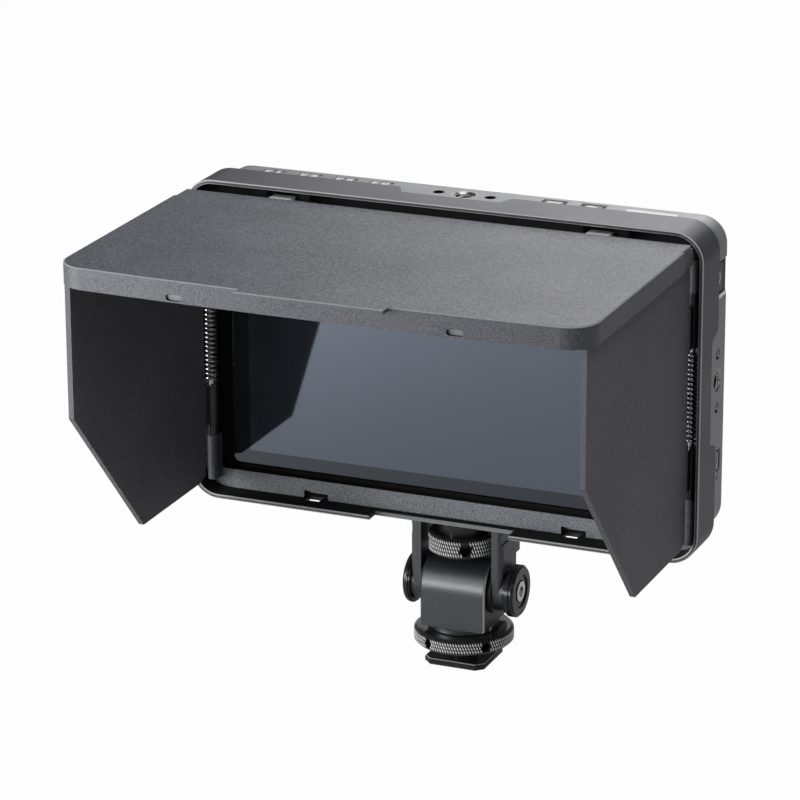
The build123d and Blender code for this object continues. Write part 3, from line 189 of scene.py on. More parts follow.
bpy.context.scene.view_settings.view_transform = "Standard"
place_camera()
lay_floor()
set_world()
HOUSING_TOP = (0.03, -0.02, 0.13)
HOOD_MIDDLE = (0.0, -0.06, 0.09)
hang_light("front_left_softbox", (-0.34, -0.32, 0.14), (0.0, -0.08, 0.10), size=0.2, power=1.7)
hang_light("low_front_softbox", (-0.25, -0.60, 0.05), (0.0, 0.0, 0.03), size=0.2, power=1.1)
hang_light("floor_softbox", (-0.34, -0.46, 0.32), (-0.30, -0.42, 0.0), size=0.2, power=0.4)
hang_light("rear_left_softbox", (-0.12, 0.45, 0.33), HOUSING_TOP, size=0.25, power=0.28)
hang_light("rear_high_softbox", (0.02, 0.42, 0.46), HOUSING_TOP, size=0.35, power=0.95)
hang_light("overhead_softbox", (0.20, -0.10, 0.90), HOOD_MIDDLE, size=0.6, power=3.4)
hang_light("right_fill", (0.70, -0.30, 0.40), HOOD_MIDDLE, size=0.35, power=0.45)


# ---------------------------------------------------------------- shared effects
def effect(name, inputs, outputs):
    """A new shader group with named sockets; returns it with its in and out nodes."""
    group = bpy.data.node_groups.new(name, "ShaderNodeTree")
    for label, kind, value in inputs:
        socket = group.interface.new_socket(label, in_out="INPUT", socket_type=kind)
        socket.default_value = value
    for label, kind in outputs:
        group.interface.new_socket(label, in_out="OUTPUT", socket_type=kind)
    return group, group.nodes.new("NodeGroupInput"), group.nodes.new("NodeGroupOutput")


def blend_colors(tree, factor, dark, light):
    """A Mix node between two colours given as sockets or values."""
    node = tree.nodes.new("ShaderNodeMix")
    node.data_type = "RGBA"
    tree.links.new(factor, node.inputs["Factor"])
    for label, value in (("A", dark), ("B", light)):
        socket = [one for one in node.inputs if one.name == label and one.type == "RGBA"][0]
        if isinstance(value, tuple):
            socket.default_value = (*value, 1.0)
        else:
            tree.links.new(value, socket)
    return [one for one in node.outputs if one.type == "RGBA"][0]


UNEVENNESS = 0.36


def make_speckle():
    """Fine two-tone grain over slow unevenness, with its own height."""
    inputs = [("Dark", COLOR, (0.1, 0.1, 0.1, 1)), ("Light", COLOR, (0.2, 0.2, 0.2, 1)),
              ("Grain", FLOAT, 2600.0)]
    group, entry, leave = effect("speckle", inputs, [("Color", COLOR), ("Height", FLOAT)])
    place = group.nodes.new("ShaderNodeTexCoord")
    fine = group.nodes.new("ShaderNodeTexNoise")
    fine.inputs["Detail"].default_value = 2.0
    fine.inputs["Roughness"].default_value = 0.65
    slow = group.nodes.new("ShaderNodeTexNoise")
    slow.inputs["Scale"].default_value = 38.0
    slow.inputs["Detail"].default_value = 1.0
    for noise in (fine, slow):
        group.links.new(place.outputs["Object"], noise.inputs["Vector"])
    group.links.new(entry.outputs["Grain"], fine.inputs["Scale"])
    spread = group.nodes.new("ShaderNodeMapRange")
    spread.inputs["From Min"].default_value = 0.3
    spread.inputs["From Max"].default_value = 0.7
    group.links.new(fine.outputs["Fac"], spread.inputs["Value"])
    drift = arithmetic(group, "MULTIPLY", arithmetic(group, "SUBTRACT", slow.outputs["Fac"], 0.5), UNEVENNESS)
    share = arithmetic(group, "ADD", spread.outputs["Result"], drift, clamp=True)
    group.links.new(blend_colors(group, share, entry.outputs["Dark"], entry.outputs["Light"]),
                    leave.inputs["Color"])
    group.links.new(fine.outputs["Fac"], leave.inputs["Height"])
    return group


def make_handled():
    """Roughness that drifts a little, as on a surface that has been touched and wiped."""
    inputs = [("Roughness", FLOAT, 0.5), ("Spread", FLOAT, 0.12), ("Patches", FLOAT, 70.0)]
    group, entry, leave = effect("handled", inputs, [("Roughness", FLOAT)])
    place = group.nodes.new("ShaderNodeTexCoord")
    noise = group.nodes.new("ShaderNodeTexNoise")
    noise.inputs["Detail"].default_value = 4.0
    group.links.new(place.outputs["Object"], noise.inputs["Vector"])
    group.links.new(entry.outputs["Patches"], noise.inputs["Scale"])
    shift = arithmetic(group, "MULTIPLY", arithmetic(group, "SUBTRACT", noise.outputs["Fac"], 0.5),
                       entry.outputs["Spread"])
    group.links.new(arithmetic(group, "ADD", entry.outputs["Roughness"], shift, clamp=True),
                    leave.inputs["Roughness"])
    return group


def make_between():
    """1 where a value lies between two limits, with a soft edge outside each."""
    inputs = [("Value", FLOAT, 0.0), ("Low", FLOAT, 0.0), ("High", FLOAT, 1.0), ("Soft", FLOAT, 0.0001)]
    group, entry, leave = effect("between", inputs, [("Mask", FLOAT)])
    ramps = []
    for limit, outward in (("Low", "SUBTRACT"), ("High", "ADD")):
        ramp = group.nodes.new("ShaderNodeMapRange")
        start = arithmetic(group, outward, entry.outputs[limit], entry.outputs["Soft"])
        group.links.new(entry.outputs["Value"], ramp.inputs["Value"])
        group.links.new(start, ramp.inputs["From Min"])
        group.links.new(entry.outputs[limit], ramp.inputs["From Max"])
        ramps.append(ramp.outputs["Result"])
    group.links.new(arithmetic(group, "MULTIPLY", *ramps), leave.inputs["Mask"])
    return group


def make_rim_inset():
    """Distance inward from the hood frame's round-cornered outline."""
    group, entry, leave = effect("rim_inset", [("X", FLOAT, 0.0), ("Z", FLOAT, 0.0)], [("Inset", FLOAT)])
    reach = []
    for axis, half in (("X", RIM_HALF_X), ("Z", RIM_HALF_Z)):
        distance = arithmetic(group, "ABSOLUTE", entry.outputs[axis])
        reach.append(arithmetic(group, "SUBTRACT", distance, half - RIM_CORNER))
    squares = [arithmetic(group, "POWER", arithmetic(group, "MAXIMUM", one, 0.0), 2.0) for one in reach]
    outside = arithmetic(group, "SQRT", arithmetic(group, "ADD", *squares))
    inside = arithmetic(group, "MINIMUM", arithmetic(group, "MAXIMUM", *reach), 0.0)
    total = arithmetic(group, "ADD", outside, inside)
    group.links.new(arithmetic(group, "SUBTRACT", RIM_CORNER, total), leave.inputs["Inset"])
    return group


SPECKLE = make_speckle()
RIM_INSET = make_rim_inset()
HANDLED = make_handled()
BETWEEN = make_between()


COATING_IOR = 1.45
BUMP_DEPTH = 0.1 * MM


class Finish:
    """A material under construction: its tree, its shader and the usual connections."""

    def __init__(self, name, metallic=0.0, specular=0.5):
        self.material = bpy.data.materials.new(name)
        self.material.use_nodes = True
        self.tree = self.material.node_tree
        self.shader = self.tree.nodes["Principled BSDF"]
        self.shader.inputs["Metallic"].default_value = metallic
        self.shader.inputs["IOR"].default_value = COATING_IOR
        self.shader.inputs["Specular IOR Level"].default_value = specular
        self.place = self.tree.nodes.new("ShaderNodeTexCoord")
        self.axes = self.tree.nodes.new("ShaderNodeSeparateXYZ")
        self.tree.links.new(self.place.outputs["Object"], self.axes.inputs[0])

    def group(self, group, **values):
        node = self.tree.nodes.new("ShaderNodeGroup")
        node.node_tree = group
        for label, value in values.items():
            socket = node.inputs[label.replace("_", " ")]
            if isinstance(value, tuple):
                socket.default_value = (*value, 1.0)
            elif isinstance(value, (int, float)):
                socket.default_value = value
            else:
                self.tree.links.new(value, socket)
        return node

    def speckle(self, dark, light, grain=2600.0):
        return self.group(SPECKLE, Dark=dark, Light=light, Grain=grain)

    def handled(self, value, spread=0.1, patches=70.0):
        return self.group(HANDLED, Roughness=value, Spread=spread, Patches=patches).outputs["Roughness"]

    def rough(self, socket):
        self.tree.links.new(socket, self.shader.inputs["Roughness"])

    def bump(self, height, strength):
        node = self.tree.nodes.new("ShaderNodeBump")
        node.inputs["Strength"].default_value = strength
        node.inputs["Distance"].default_value = BUMP_DEPTH
        self.tree.links.new(height, node.inputs["Height"])
        self.tree.links.new(node.outputs["Normal"], self.shader.inputs["Normal"])

    def color(self, socket):
        self.tree.links.new(socket, self.shader.inputs["Base Color"])

    def paint(self, base, *coats):
        """Lay one colour after another over the base, each inside its mask."""
        for mask, coat in coats:
            base = blend_colors(self.tree, mask, base, coat)
        self.color(base)

    def between(self, value, low, high, soft=0.05, origin=0.0):
        """1 between two limits, in millimetres from an origin in metres."""
        limits = {"Low": origin + low * MM, "High": origin + high * MM, "Soft": soft * MM}
        return self.group(BETWEEN, Value=value, **limits).outputs["Mask"]

    def mask(self, axis, low, high, soft=0.05, origin=0.0):
        return self.between(self.axes.outputs[axis], low, high, soft, origin)

    def combined(self, operation, masks):
        total = masks[0]
        for one in masks[1:]:
            total = arithmetic(self.tree, operation, total, one)
        return total

    def both(self, *masks):
        return self.combined("MULTIPLY", masks)

    def either(self, *masks):
        return self.combined("MAXIMUM", masks)


def grained(name, dark, light, roughness, grain=2600.0, height=0.05, **shader):
    """A plain grained finish: moulded plastic, paint, rubber or cast metal."""
    finish = Finish(name, **shader)
    speckle = finish.speckle(dark, light, grain)
    finish.color(speckle.outputs["Color"])
    finish.rough(finish.handled(roughness, spread=0.08))
    finish.bump(speckle.outputs["Height"], height)
    return finish


# ---------------------------------------------------------------- finishes
BRACKET_BLACK = grained("bracket_black", (0.070, 0.071, 0.076), (0.115, 0.117, 0.125), 0.42, grain=3600.0,
                        height=0.15, metallic=0.8)
GLOSS_BLACK = grained("gloss_black", (0.026, 0.0265, 0.028), (0.040, 0.041, 0.043), 0.2, grain=4000.0,
                      metallic=0.4)
# Painted glints: near-white knurl lozenges stand in for light caught by the black knurl's facets.
KNURL_PAINTED_GLINT = grained("knurl_painted_glint", (0.70, 0.70, 0.70), (1.0, 1.0, 1.0), 0.3, grain=2200.0, metallic=0.3)
SPRING_STEEL = grained("spring_steel", (0.26, 0.26, 0.265), (0.40, 0.40, 0.41), 0.18, grain=2000.0,
                       metallic=1.0)
PIN_STEEL = grained("pin_steel", (0.30, 0.30, 0.305), (0.42, 0.42, 0.43), 0.2, grain=2400.0, metallic=1.0)
BLACK_STEEL = grained("black_steel", (0.05, 0.05, 0.052), (0.09, 0.09, 0.094), 0.35, grain=2400.0,
                      metallic=0.8)
COLLAR_BLACK = grained("collar_black", (0.008, 0.008, 0.009), (0.016, 0.016, 0.017), 0.15, grain=2400.0)
BRIGHT_STEEL = grained("bright_steel", (0.52, 0.53, 0.55), (0.72, 0.73, 0.75), 0.3, grain=1800.0,
                       metallic=1.0)
# Partly painted light: the hinge leaves are pale metal, and their colour is raised near white to stand in for
# the overhead light they catch.
LEAF_PALE_PAINTED_LIGHT = grained("hinge_leaf_pale", (0.86, 0.865, 0.875), (0.97, 0.97, 0.975), 0.4, grain=1800.0,
                     metallic=0.3)
BRIGHT_SCREW = grained("bright_screw", (0.62, 0.62, 0.6), (0.82, 0.82, 0.8), 0.2, grain=1600.0, metallic=1.0)
PAD_RUBBER = grained("pad_rubber", (0.014, 0.014, 0.014), (0.026, 0.026, 0.026), 0.75, grain=1400.0,
                     height=0.4)
WASHER_PLASTIC = grained("washer_plastic", (0.03, 0.03, 0.03), (0.05, 0.05, 0.05), 0.5)
BEZEL_BLACK = grained("bezel_black", (0.004, 0.004, 0.0045), (0.009, 0.009, 0.010), 0.6, grain=2400.0,
                      height=0.15, specular=0.08)
KEY_PLASTIC = grained("key_plastic", (0.18, 0.182, 0.188), (0.27, 0.272, 0.28), 0.5, grain=2600.0, height=0.1)
POWER_KEY = grained("power_key_black", (0.008, 0.008, 0.009), (0.014, 0.014, 0.015), 0.3, grain=2600.0)
SOCKET_BLACK = grained("socket_black", (0.010, 0.010, 0.011), (0.022, 0.022, 0.024), 0.45, grain=1800.0)
PLATE_BLACK = grained("battery_plate_black", (0.014, 0.014, 0.015), (0.034, 0.034, 0.036), 0.5, grain=1900.0,
                      height=0.3)
INSERT_METAL = grained("threaded_insert_metal", (0.26, 0.26, 0.255), (0.40, 0.395, 0.39), 0.3, grain=1500.0,
                       metallic=1.0)
THREAD_BRIGHT = grained("thread_bright", (0.66, 0.66, 0.65), (0.86, 0.86, 0.85), 0.3, grain=1500.0,
                        metallic=0.5)
RING_WHITE = grained("power_ring_white", (0.86, 0.86, 0.86), (0.94, 0.94, 0.94), 0.3, grain=1500.0)
GOLD = grained("contact_gold", (0.62, 0.44, 0.16), (0.8, 0.6, 0.28), 0.28, grain=1500.0, metallic=1.0)
SHEET_METAL = grained("inner_sheet_metal", (0.45, 0.45, 0.46), (0.62, 0.62, 0.63), 0.4, grain=900.0,
                      metallic=1.0)
BOARD_GREEN = grained("circuit_board_green", (0.012, 0.09, 0.035), (0.02, 0.14, 0.06), 0.35, grain=700.0)
CHIP_BLACK = grained("chip_black", (0.012, 0.012, 0.012), (0.03, 0.03, 0.03), 0.55, grain=1700.0)
PANEL_CELL = grained("display_cell", (0.010, 0.012, 0.014), (0.016, 0.018, 0.02), 0.15, grain=900.0)
DIFFUSER = grained("backlight_white", (0.78, 0.79, 0.8), (0.86, 0.87, 0.88), 0.6, grain=800.0)
KEY_PRINT = grained("key_print_white", (0.78, 0.78, 0.78), (0.9, 0.9, 0.9), 0.5, grain=2600.0)
BLANK_PLATE = grained("blank_plate", (0.80, 0.805, 0.81), (0.90, 0.90, 0.90), 0.45, grain=1800.0, height=0.1)


# The soft edge of a fine mask and a reach past everything, in millimetres.
HAIR = 0.02
FAR = 60.0


def anodised():
    """Satin black metal with a painted highlight along the block's right edge and painted shade on its right
    side face.
    """
    finish = Finish("black_anodised", metallic=0.9)
    coat = finish.speckle((0.100, 0.103, 0.111), (0.130, 0.134, 0.145), grain=4000.0)
    half_width = 9.7
    # Painted highlight: a pale line along the block's right vertical edge.
    painted_arris_highlight = finish.mask("X", half_width - 0.45, half_width - 0.08, HAIR)
    # Painted shade: the block's right side face is darkened.
    side = finish.mask("X", half_width - 0.01, half_width + 1, 0.01)
    finish.paint(coat.outputs["Color"], (painted_arris_highlight, (0.55, 0.55, 0.56)), (side, (0.035, 0.035, 0.037)))
    finish.rough(finish.handled(0.36))
    finish.bump(coat.outputs["Height"], 0.05)
    return finish


def foot_black():
    """Gloss black with painted highlights along the plate's upper and lower edges."""
    finish = Finish("foot_black", metallic=0.4)
    coat = finish.speckle((0.026, 0.0265, 0.028), (0.040, 0.041, 0.043), grain=4000.0)
    # Painted highlight: pale bands along the foot plate's lower and upper edges.
    lower_edge = finish.mask("Z", 0.02, 0.20, HAIR)
    upper_edge = finish.mask("Z", -0.22, -0.02, HAIR, origin=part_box("shoe_foot")[1][2])
    painted_edge_highlight = finish.either(lower_edge, upper_edge)
    finish.paint(coat.outputs["Color"], (painted_edge_highlight, (0.45, 0.45, 0.455)))
    finish.rough(finish.handled(0.2))
    finish.bump(coat.outputs["Height"], 0.05)
    return finish


def lid_coat():
    """Two-tone grain, a painted highlight along the top edge's chamfer, painted shade on the walls of the
    lip's slots, and their floors brightened as painted light.
    """
    finish = Finish("lid_coat")
    coat = finish.speckle((0.004, 0.0042, 0.008), (0.185, 0.190, 0.232), grain=2100.0)
    sides = finish.speckle((0.042, 0.043, 0.050), (0.128, 0.131, 0.155), grain=2300.0)
    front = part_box("lid")[0][1]
    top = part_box("lid")[1][2]
    upright = finish.mask("Z", -9, -0.3, origin=top)
    # Painted highlight: a pale line along the chamfer of the lid's top edge.
    painted_edge_highlight = finish.mask("Z", -0.27, -0.03, HAIR, origin=top)
    slot_near = 36.2
    slot_far = 40.8
    slot = finish.both(finish.mask("Z", -5.5, -3.7, HAIR, origin=top),
                       finish.either(finish.mask("X", -slot_far, -slot_near, HAIR),
                                     finish.mask("X", slot_near, slot_far, HAIR)))
    # Painted shade: the walls of the lip's slots are darkened to near black.
    painted_shade_slot_wall = finish.both(slot, finish.mask("Y", 3.0, 3.56, HAIR, origin=front))
    # Painted light: the slots' floors are made brighter than the lip's own grey.
    painted_light_slot_floor = finish.both(slot, finish.mask("Y", 3.59, 3.7, HAIR, origin=front))
    finish.paint(coat.outputs["Color"], (upright, sides.outputs["Color"]), (painted_shade_slot_wall, (0.008, 0.008, 0.009)),
                 (painted_light_slot_floor, (0.20, 0.204, 0.215)), (painted_edge_highlight, (0.30, 0.30, 0.305)))
    finish.rough(finish.handled(0.46))
    finish.bump(coat.outputs["Height"], 0.45)
    return finish


def hood_shell():
    """Smooth dark skirt, grained face, black plastic inner walls darkened further by painted shade, and
    painted highlights on the rim's two chamfers.
    """
    finish = Finish("hood_shell")
    height = arithmetic(finish.tree, "SUBTRACT", finish.axes.outputs["Z"], MID_Z)
    inset = finish.group(RIM_INSET, X=finish.axes.outputs["X"], Z=height).outputs["Inset"]
    skirt = finish.speckle((0.038, 0.038, 0.046), (0.070, 0.070, 0.083), grain=3000.0)
    face = finish.speckle((0.09, 0.093, 0.105), (0.30, 0.312, 0.345), grain=2300.0)
    post = finish.speckle((0.030, 0.031, 0.034), (0.110, 0.112, 0.120), grain=2300.0)
    rim_wall = 1.05
    recess_start = 0.45
    recess_end = 12.0
    face_depth = 6.8
    inside = finish.between(inset, rim_wall, FAR)
    recess = finish.mask("Y", recess_start, recess_end, origin=RIM_Y)
    # Painted shade: the rim's inner lining, the walls behind the face and the recess's top band under the lid
    # are near black; the plastic there is black too.
    rim_lining = finish.both(finish.between(inset, rim_wall, rim_wall + 0.3), recess)
    behind_face = finish.both(inside, finish.mask("Y", face_depth + 0.15, recess_end, origin=RIM_Y))
    recess_head = finish.both(inside, finish.mask("Z", 38.2, FAR, origin=MID_Z), recess)
    wall = finish.either(rim_lining, behind_face, recess_head)
    lugs = finish.both(finish.between(inset, 1.4, FAR),
                       finish.mask("Y", recess_start, face_depth - 0.15, origin=RIM_Y))
    notch = finish.both(finish.mask("Y", 4.42, 4.56, HAIR, origin=RIM_Y),
                        finish.mask("Z", -50, -45.2, origin=MID_Z), finish.mask("X", -20.8, 20.8))
    # Painted highlight: the rim's front chamfers are pale; the flat front face between them keeps a plain
    # dark grey.
    front = finish.mask("Y", -1, 0.30, 0.04, origin=RIM_Y)
    flat = finish.mask("Y", -1, 0.01, HAIR, origin=RIM_Y)
    finish.paint(skirt.outputs["Color"], (inside, face.outputs["Color"]), (lugs, post.outputs["Color"]),
                 (wall, (0.006, 0.006, 0.006)), (notch, (0.20, 0.204, 0.215)), (front, (0.5, 0.5, 0.505)),
                 (flat, (0.07, 0.07, 0.074)))
    matter = arithmetic(finish.tree, "MULTIPLY", wall, 0.60)
    finish.rough(arithmetic(finish.tree, "ADD", finish.handled(0.42), matter, clamp=True))
    finish.bump(face.outputs["Height"], 0.15)
    return finish


def flap_skin():
    """Rough near-black plate with smooth black knuckles."""
    finish = Finish("flap_skin")
    plate = finish.speckle((0.058, 0.057, 0.066), (0.146, 0.144, 0.164), grain=2600.0)
    knuckle = finish.mask("Y", 0.7, 12, origin=RIM_Y)
    finish.paint(plate.outputs["Color"], (knuckle, (0.03, 0.03, 0.032)))
    smoother = arithmetic(finish.tree, "MULTIPLY", knuckle, 0.38)
    finish.rough(arithmetic(finish.tree, "SUBTRACT", finish.handled(0.62, patches=60.0), smoother))
    finish.bump(plate.outputs["Height"], 0.4)
    return finish


def housing_shell():
    """Fine-grained grey body; the power button's bay is black with bright ends, and the locating holes carry
    painted shade on one side and a painted highlight on the far side.
    """
    finish = Finish("housing_shell", metallic=0.25)
    speckle = finish.speckle((0.19, 0.193, 0.20), (0.32, 0.323, 0.335), grain=3200.0)
    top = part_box("rear_housing")[1][2]
    side_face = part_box("rear_housing")[1][0]
    inlay = finish.both(finish.mask("X", -1.9, -0.6, HAIR, origin=side_face),
                        finish.mask("Z", 23.6, 33.2, HAIR, origin=MID_Z))
    ends = finish.both(finish.mask("X", -0.78, 0.1, HAIR, origin=side_face), finish.mask("Y", -4.3, 9),
                       finish.either(finish.mask("Z", 23.1, 24.0, 0.03, origin=MID_Z),
                                     finish.mask("Z", 32.8, 33.7, 0.03, origin=MID_Z)))
    bright = [ends]
    dark = [inlay]
    hole_spacing = 15.2
    hole_radius = 1.64
    side_insert = middle("thread_insert_side")
    top_insert = middle("thread_insert_top")
    under_side = finish.mask("X", -3.4, -0.1, HAIR, origin=side_face)
    under_top = finish.mask("Z", -4, -0.1, HAIR, origin=top)

    def locating_hole(depth, across_axis, across, along_axis, along, shine_from):
        """Hole with painted shade on its near side and a painted highlight where its far side faces the
        light.
        """
        hole = finish.both(depth, finish.mask(along_axis, -hole_radius, hole_radius, HAIR, along))
        dark.append(finish.both(hole, finish.mask(across_axis, -hole_radius, shine_from, HAIR, across)))
        bright.append(finish.both(hole, finish.mask(across_axis, shine_from, hole_radius, HAIR, across)))

    for side in (-1, 1):
        offset = side * hole_spacing / 2 * MM
        locating_hole(under_side, "Y", side_insert.y, "Z", side_insert.z + offset, 1.15)
        locating_hole(under_top, "X", offset, "Y", top_insert.y, 0.9)
    finish.paint(speckle.outputs["Color"], (finish.either(*bright), (0.75, 0.75, 0.75)),
                 (finish.either(*dark), (0.008, 0.008, 0.009)))
    finish.rough(finish.handled(0.42))
    finish.bump(speckle.outputs["Height"], 0.12)
    return finish


def screen_glass():
    """Dark glossy cover: black printed border round the lit area's grey-blue sheen."""
    finish = Finish("screen_glass", metallic=0.9)
    lit_half_x = 60.9
    lit_half_z = 34.25
    lit = finish.both(finish.mask("X", -lit_half_x, lit_half_x),
                      finish.mask("Z", -lit_half_z, lit_half_z, origin=MID_Z))
    sheen = finish.tree.nodes.new("ShaderNodeTexNoise")
    sheen.inputs["Scale"].default_value = 9.0
    sheen.inputs["Detail"].default_value = 1.0
    finish.tree.links.new(finish.place.outputs["Object"], sheen.inputs["Vector"])
    cell = blend_colors(finish.tree, sheen.outputs["Fac"], (0.135, 0.156, 0.192), (0.158, 0.182, 0.224))
    finish.color(blend_colors(finish.tree, lit, (0.080, 0.088, 0.101), cell))
    finish.rough(finish.handled(0.045, 0.02, 30.0))
    return finish


ANODISED = anodised()
FOOT_BLACK = foot_black()
LID_COAT = lid_coat()
HOOD_SHELL = hood_shell()
FLAP_SKIN = flap_skin()
HOUSING = housing_shell()
SCREEN_GLASS = screen_glass()

FINISH_OF = {
    ANODISED: "tilt_block",
    FOOT_BLACK: "shoe_foot",
    GLOSS_BLACK: "foot_post lock_ring clamp_disc tilt_axle tilt_cap_left tilt_cap_right thumbwheel",
    BRACKET_BLACK: "tilt_bracket",
    BRIGHT_SCREW: "tilt_socket_screw",
    BLACK_STEEL: "mount_screw screw_clip lid_pins case_screws plate_screws",
    PIN_STEEL: "flap_pin_left flap_pin_right",
    COLLAR_BLACK: "hinge_collars",
    LEAF_PALE_PAINTED_LIGHT: "lid_leaves",
    BRIGHT_STEEL: "side_port hdmi_sockets",
    RING_WHITE: "power_ring",
    INSERT_METAL: "thread_insert_top thread_insert_side thread_insert_bottom",
    GOLD: "battery_contacts",
    WASHER_PLASTIC: "friction_washer_left friction_washer_right",
    PAD_RUBBER: "bracket_pad",
    HOUSING: "rear_housing",
    BEZEL_BLACK: "front_bezel",
    SCREEN_GLASS: "cover_glass",
    PANEL_CELL: "lcd_panel",
    DIFFUSER: "backlight",
    SHEET_METAL: "panel_tray heat_spreader board_standoffs",
    BOARD_GREEN: "main_board switch_boards",
    CHIP_BLACK: "board_chips key_switches",
    KEY_PLASTIC: ("function_button_1 function_button_2 function_button_3 function_button_4 "
                  "menu_button back_button"),
    POWER_KEY: "power_button",
    SOCKET_BLACK: "dc_socket audio_socket",
    PLATE_BLACK: "battery_plate battery_latch",
    HOOD_SHELL: "hood_frame",
    LID_COAT: "lid",
    FLAP_SKIN: "flap_left flap_right",
}
for finish, names in FINISH_OF.items():
    for name in names.split():
        for slot in nodes_in[name].material_slots:
            slot.material = finish.material


# ---------------------------------------------------------------- repeated small shapes
def shape_tree(name, inputs):
    """A new geometry tree with named inputs and one geometry output."""
    tree = bpy.data.node_groups.new(name, "GeometryNodeTree")
    tree.interface.new_socket("Geometry", in_out="OUTPUT", socket_type="NodeSocketGeometry")
    for label, kind, value in inputs:
        socket = tree.interface.new_socket(label, in_out="INPUT", socket_type=kind)
        if value is not None:
            socket.default_value = value
    return tree, tree.nodes.new("NodeGroupInput"), tree.nodes.new("NodeGroupOutput")


def end_tree(tree, entry, leave, socket):
    """Every tree ends in real geometry with its finish."""
    real = tree.nodes.new("GeometryNodeRealizeInstances")
    paint = tree.nodes.new("GeometryNodeSetMaterial")
    tree.links.new(socket, real.inputs[0])
    tree.links.new(real.outputs[0], paint.inputs["Geometry"])
    tree.links.new(entry.outputs["Finish"], paint.inputs["Material"])
    tree.links.new(paint.outputs[0], leave.inputs[0])


def grow(name, tree, **values):
    """Run a tree once and keep the result as a plain mesh object."""
    piece = bpy.data.objects.new(name, bpy.data.meshes.new(name))
    bpy.context.collection.objects.link(piece)
    modifier = piece.modifiers.new("grow", "NODES")
    modifier.node_group = tree
    labels = {item.name: item.identifier for item in tree.interface.items_tree if item.in_out == "INPUT"}
    for label, value in values.items():
        modifier[labels[label.replace("_", " ")]] = value
    ready = piece.evaluated_get(bpy.context.evaluated_depsgraph_get())
    mesh = bpy.data.meshes.new_from_object(ready)
    mesh.name = name
    piece.modifiers.clear()
    piece.data = mesh
    return piece


def coil_tree():
    """Round wire wound in an upright helix, then turned and moved to its place."""
    tree, entry, leave = shape_tree("wound_wire", [
        ("Turns", FLOAT, 20.0), ("Radius", FLOAT, 0.0016), ("Height", FLOAT, 0.02), ("Wire", FLOAT, 0.0004),
        ("Steps", WHOLE, 20), ("Sides", WHOLE, 8), ("Place", VECTOR, (0, 0, 0)),
        ("Turn", VECTOR, (0, 0, 0)), ("Finish", "NodeSocketMaterial", None)])
    helix = tree.nodes.new("GeometryNodeCurveSpiral")
    tree.links.new(entry.outputs["Steps"], helix.inputs["Resolution"])
    tree.links.new(entry.outputs["Turns"], helix.inputs["Rotations"])
    tree.links.new(entry.outputs["Radius"], helix.inputs["Start Radius"])
    tree.links.new(entry.outputs["Radius"], helix.inputs["End Radius"])
    tree.links.new(entry.outputs["Height"], helix.inputs["Height"])
    circle = tree.nodes.new("GeometryNodeCurvePrimitiveCircle")
    tree.links.new(entry.outputs["Sides"], circle.inputs["Resolution"])
    tree.links.new(entry.outputs["Wire"], circle.inputs["Radius"])
    sweep = tree.nodes.new("GeometryNodeCurveToMesh")
    sweep.inputs["Fill Caps"].default_value = True
    tree.links.new(helix.outputs[0], sweep.inputs["Curve"])
    tree.links.new(circle.outputs[0], sweep.inputs["Profile Curve"])
    smooth = tree.nodes.new("GeometryNodeSetShadeSmooth")
    tree.links.new(sweep.outputs[0], smooth.inputs[0])
    move = tree.nodes.new("GeometryNodeTransform")
    tree.links.new(smooth.outputs[0], move.inputs["Geometry"])
    tree.links.new(entry.outputs["Place"], move.inputs["Translation"])
    tree.links.new(entry.outputs["Turn"], move.inputs["Rotation"])
    end_tree(tree, entry, leave, move.outputs[0])
    return tree


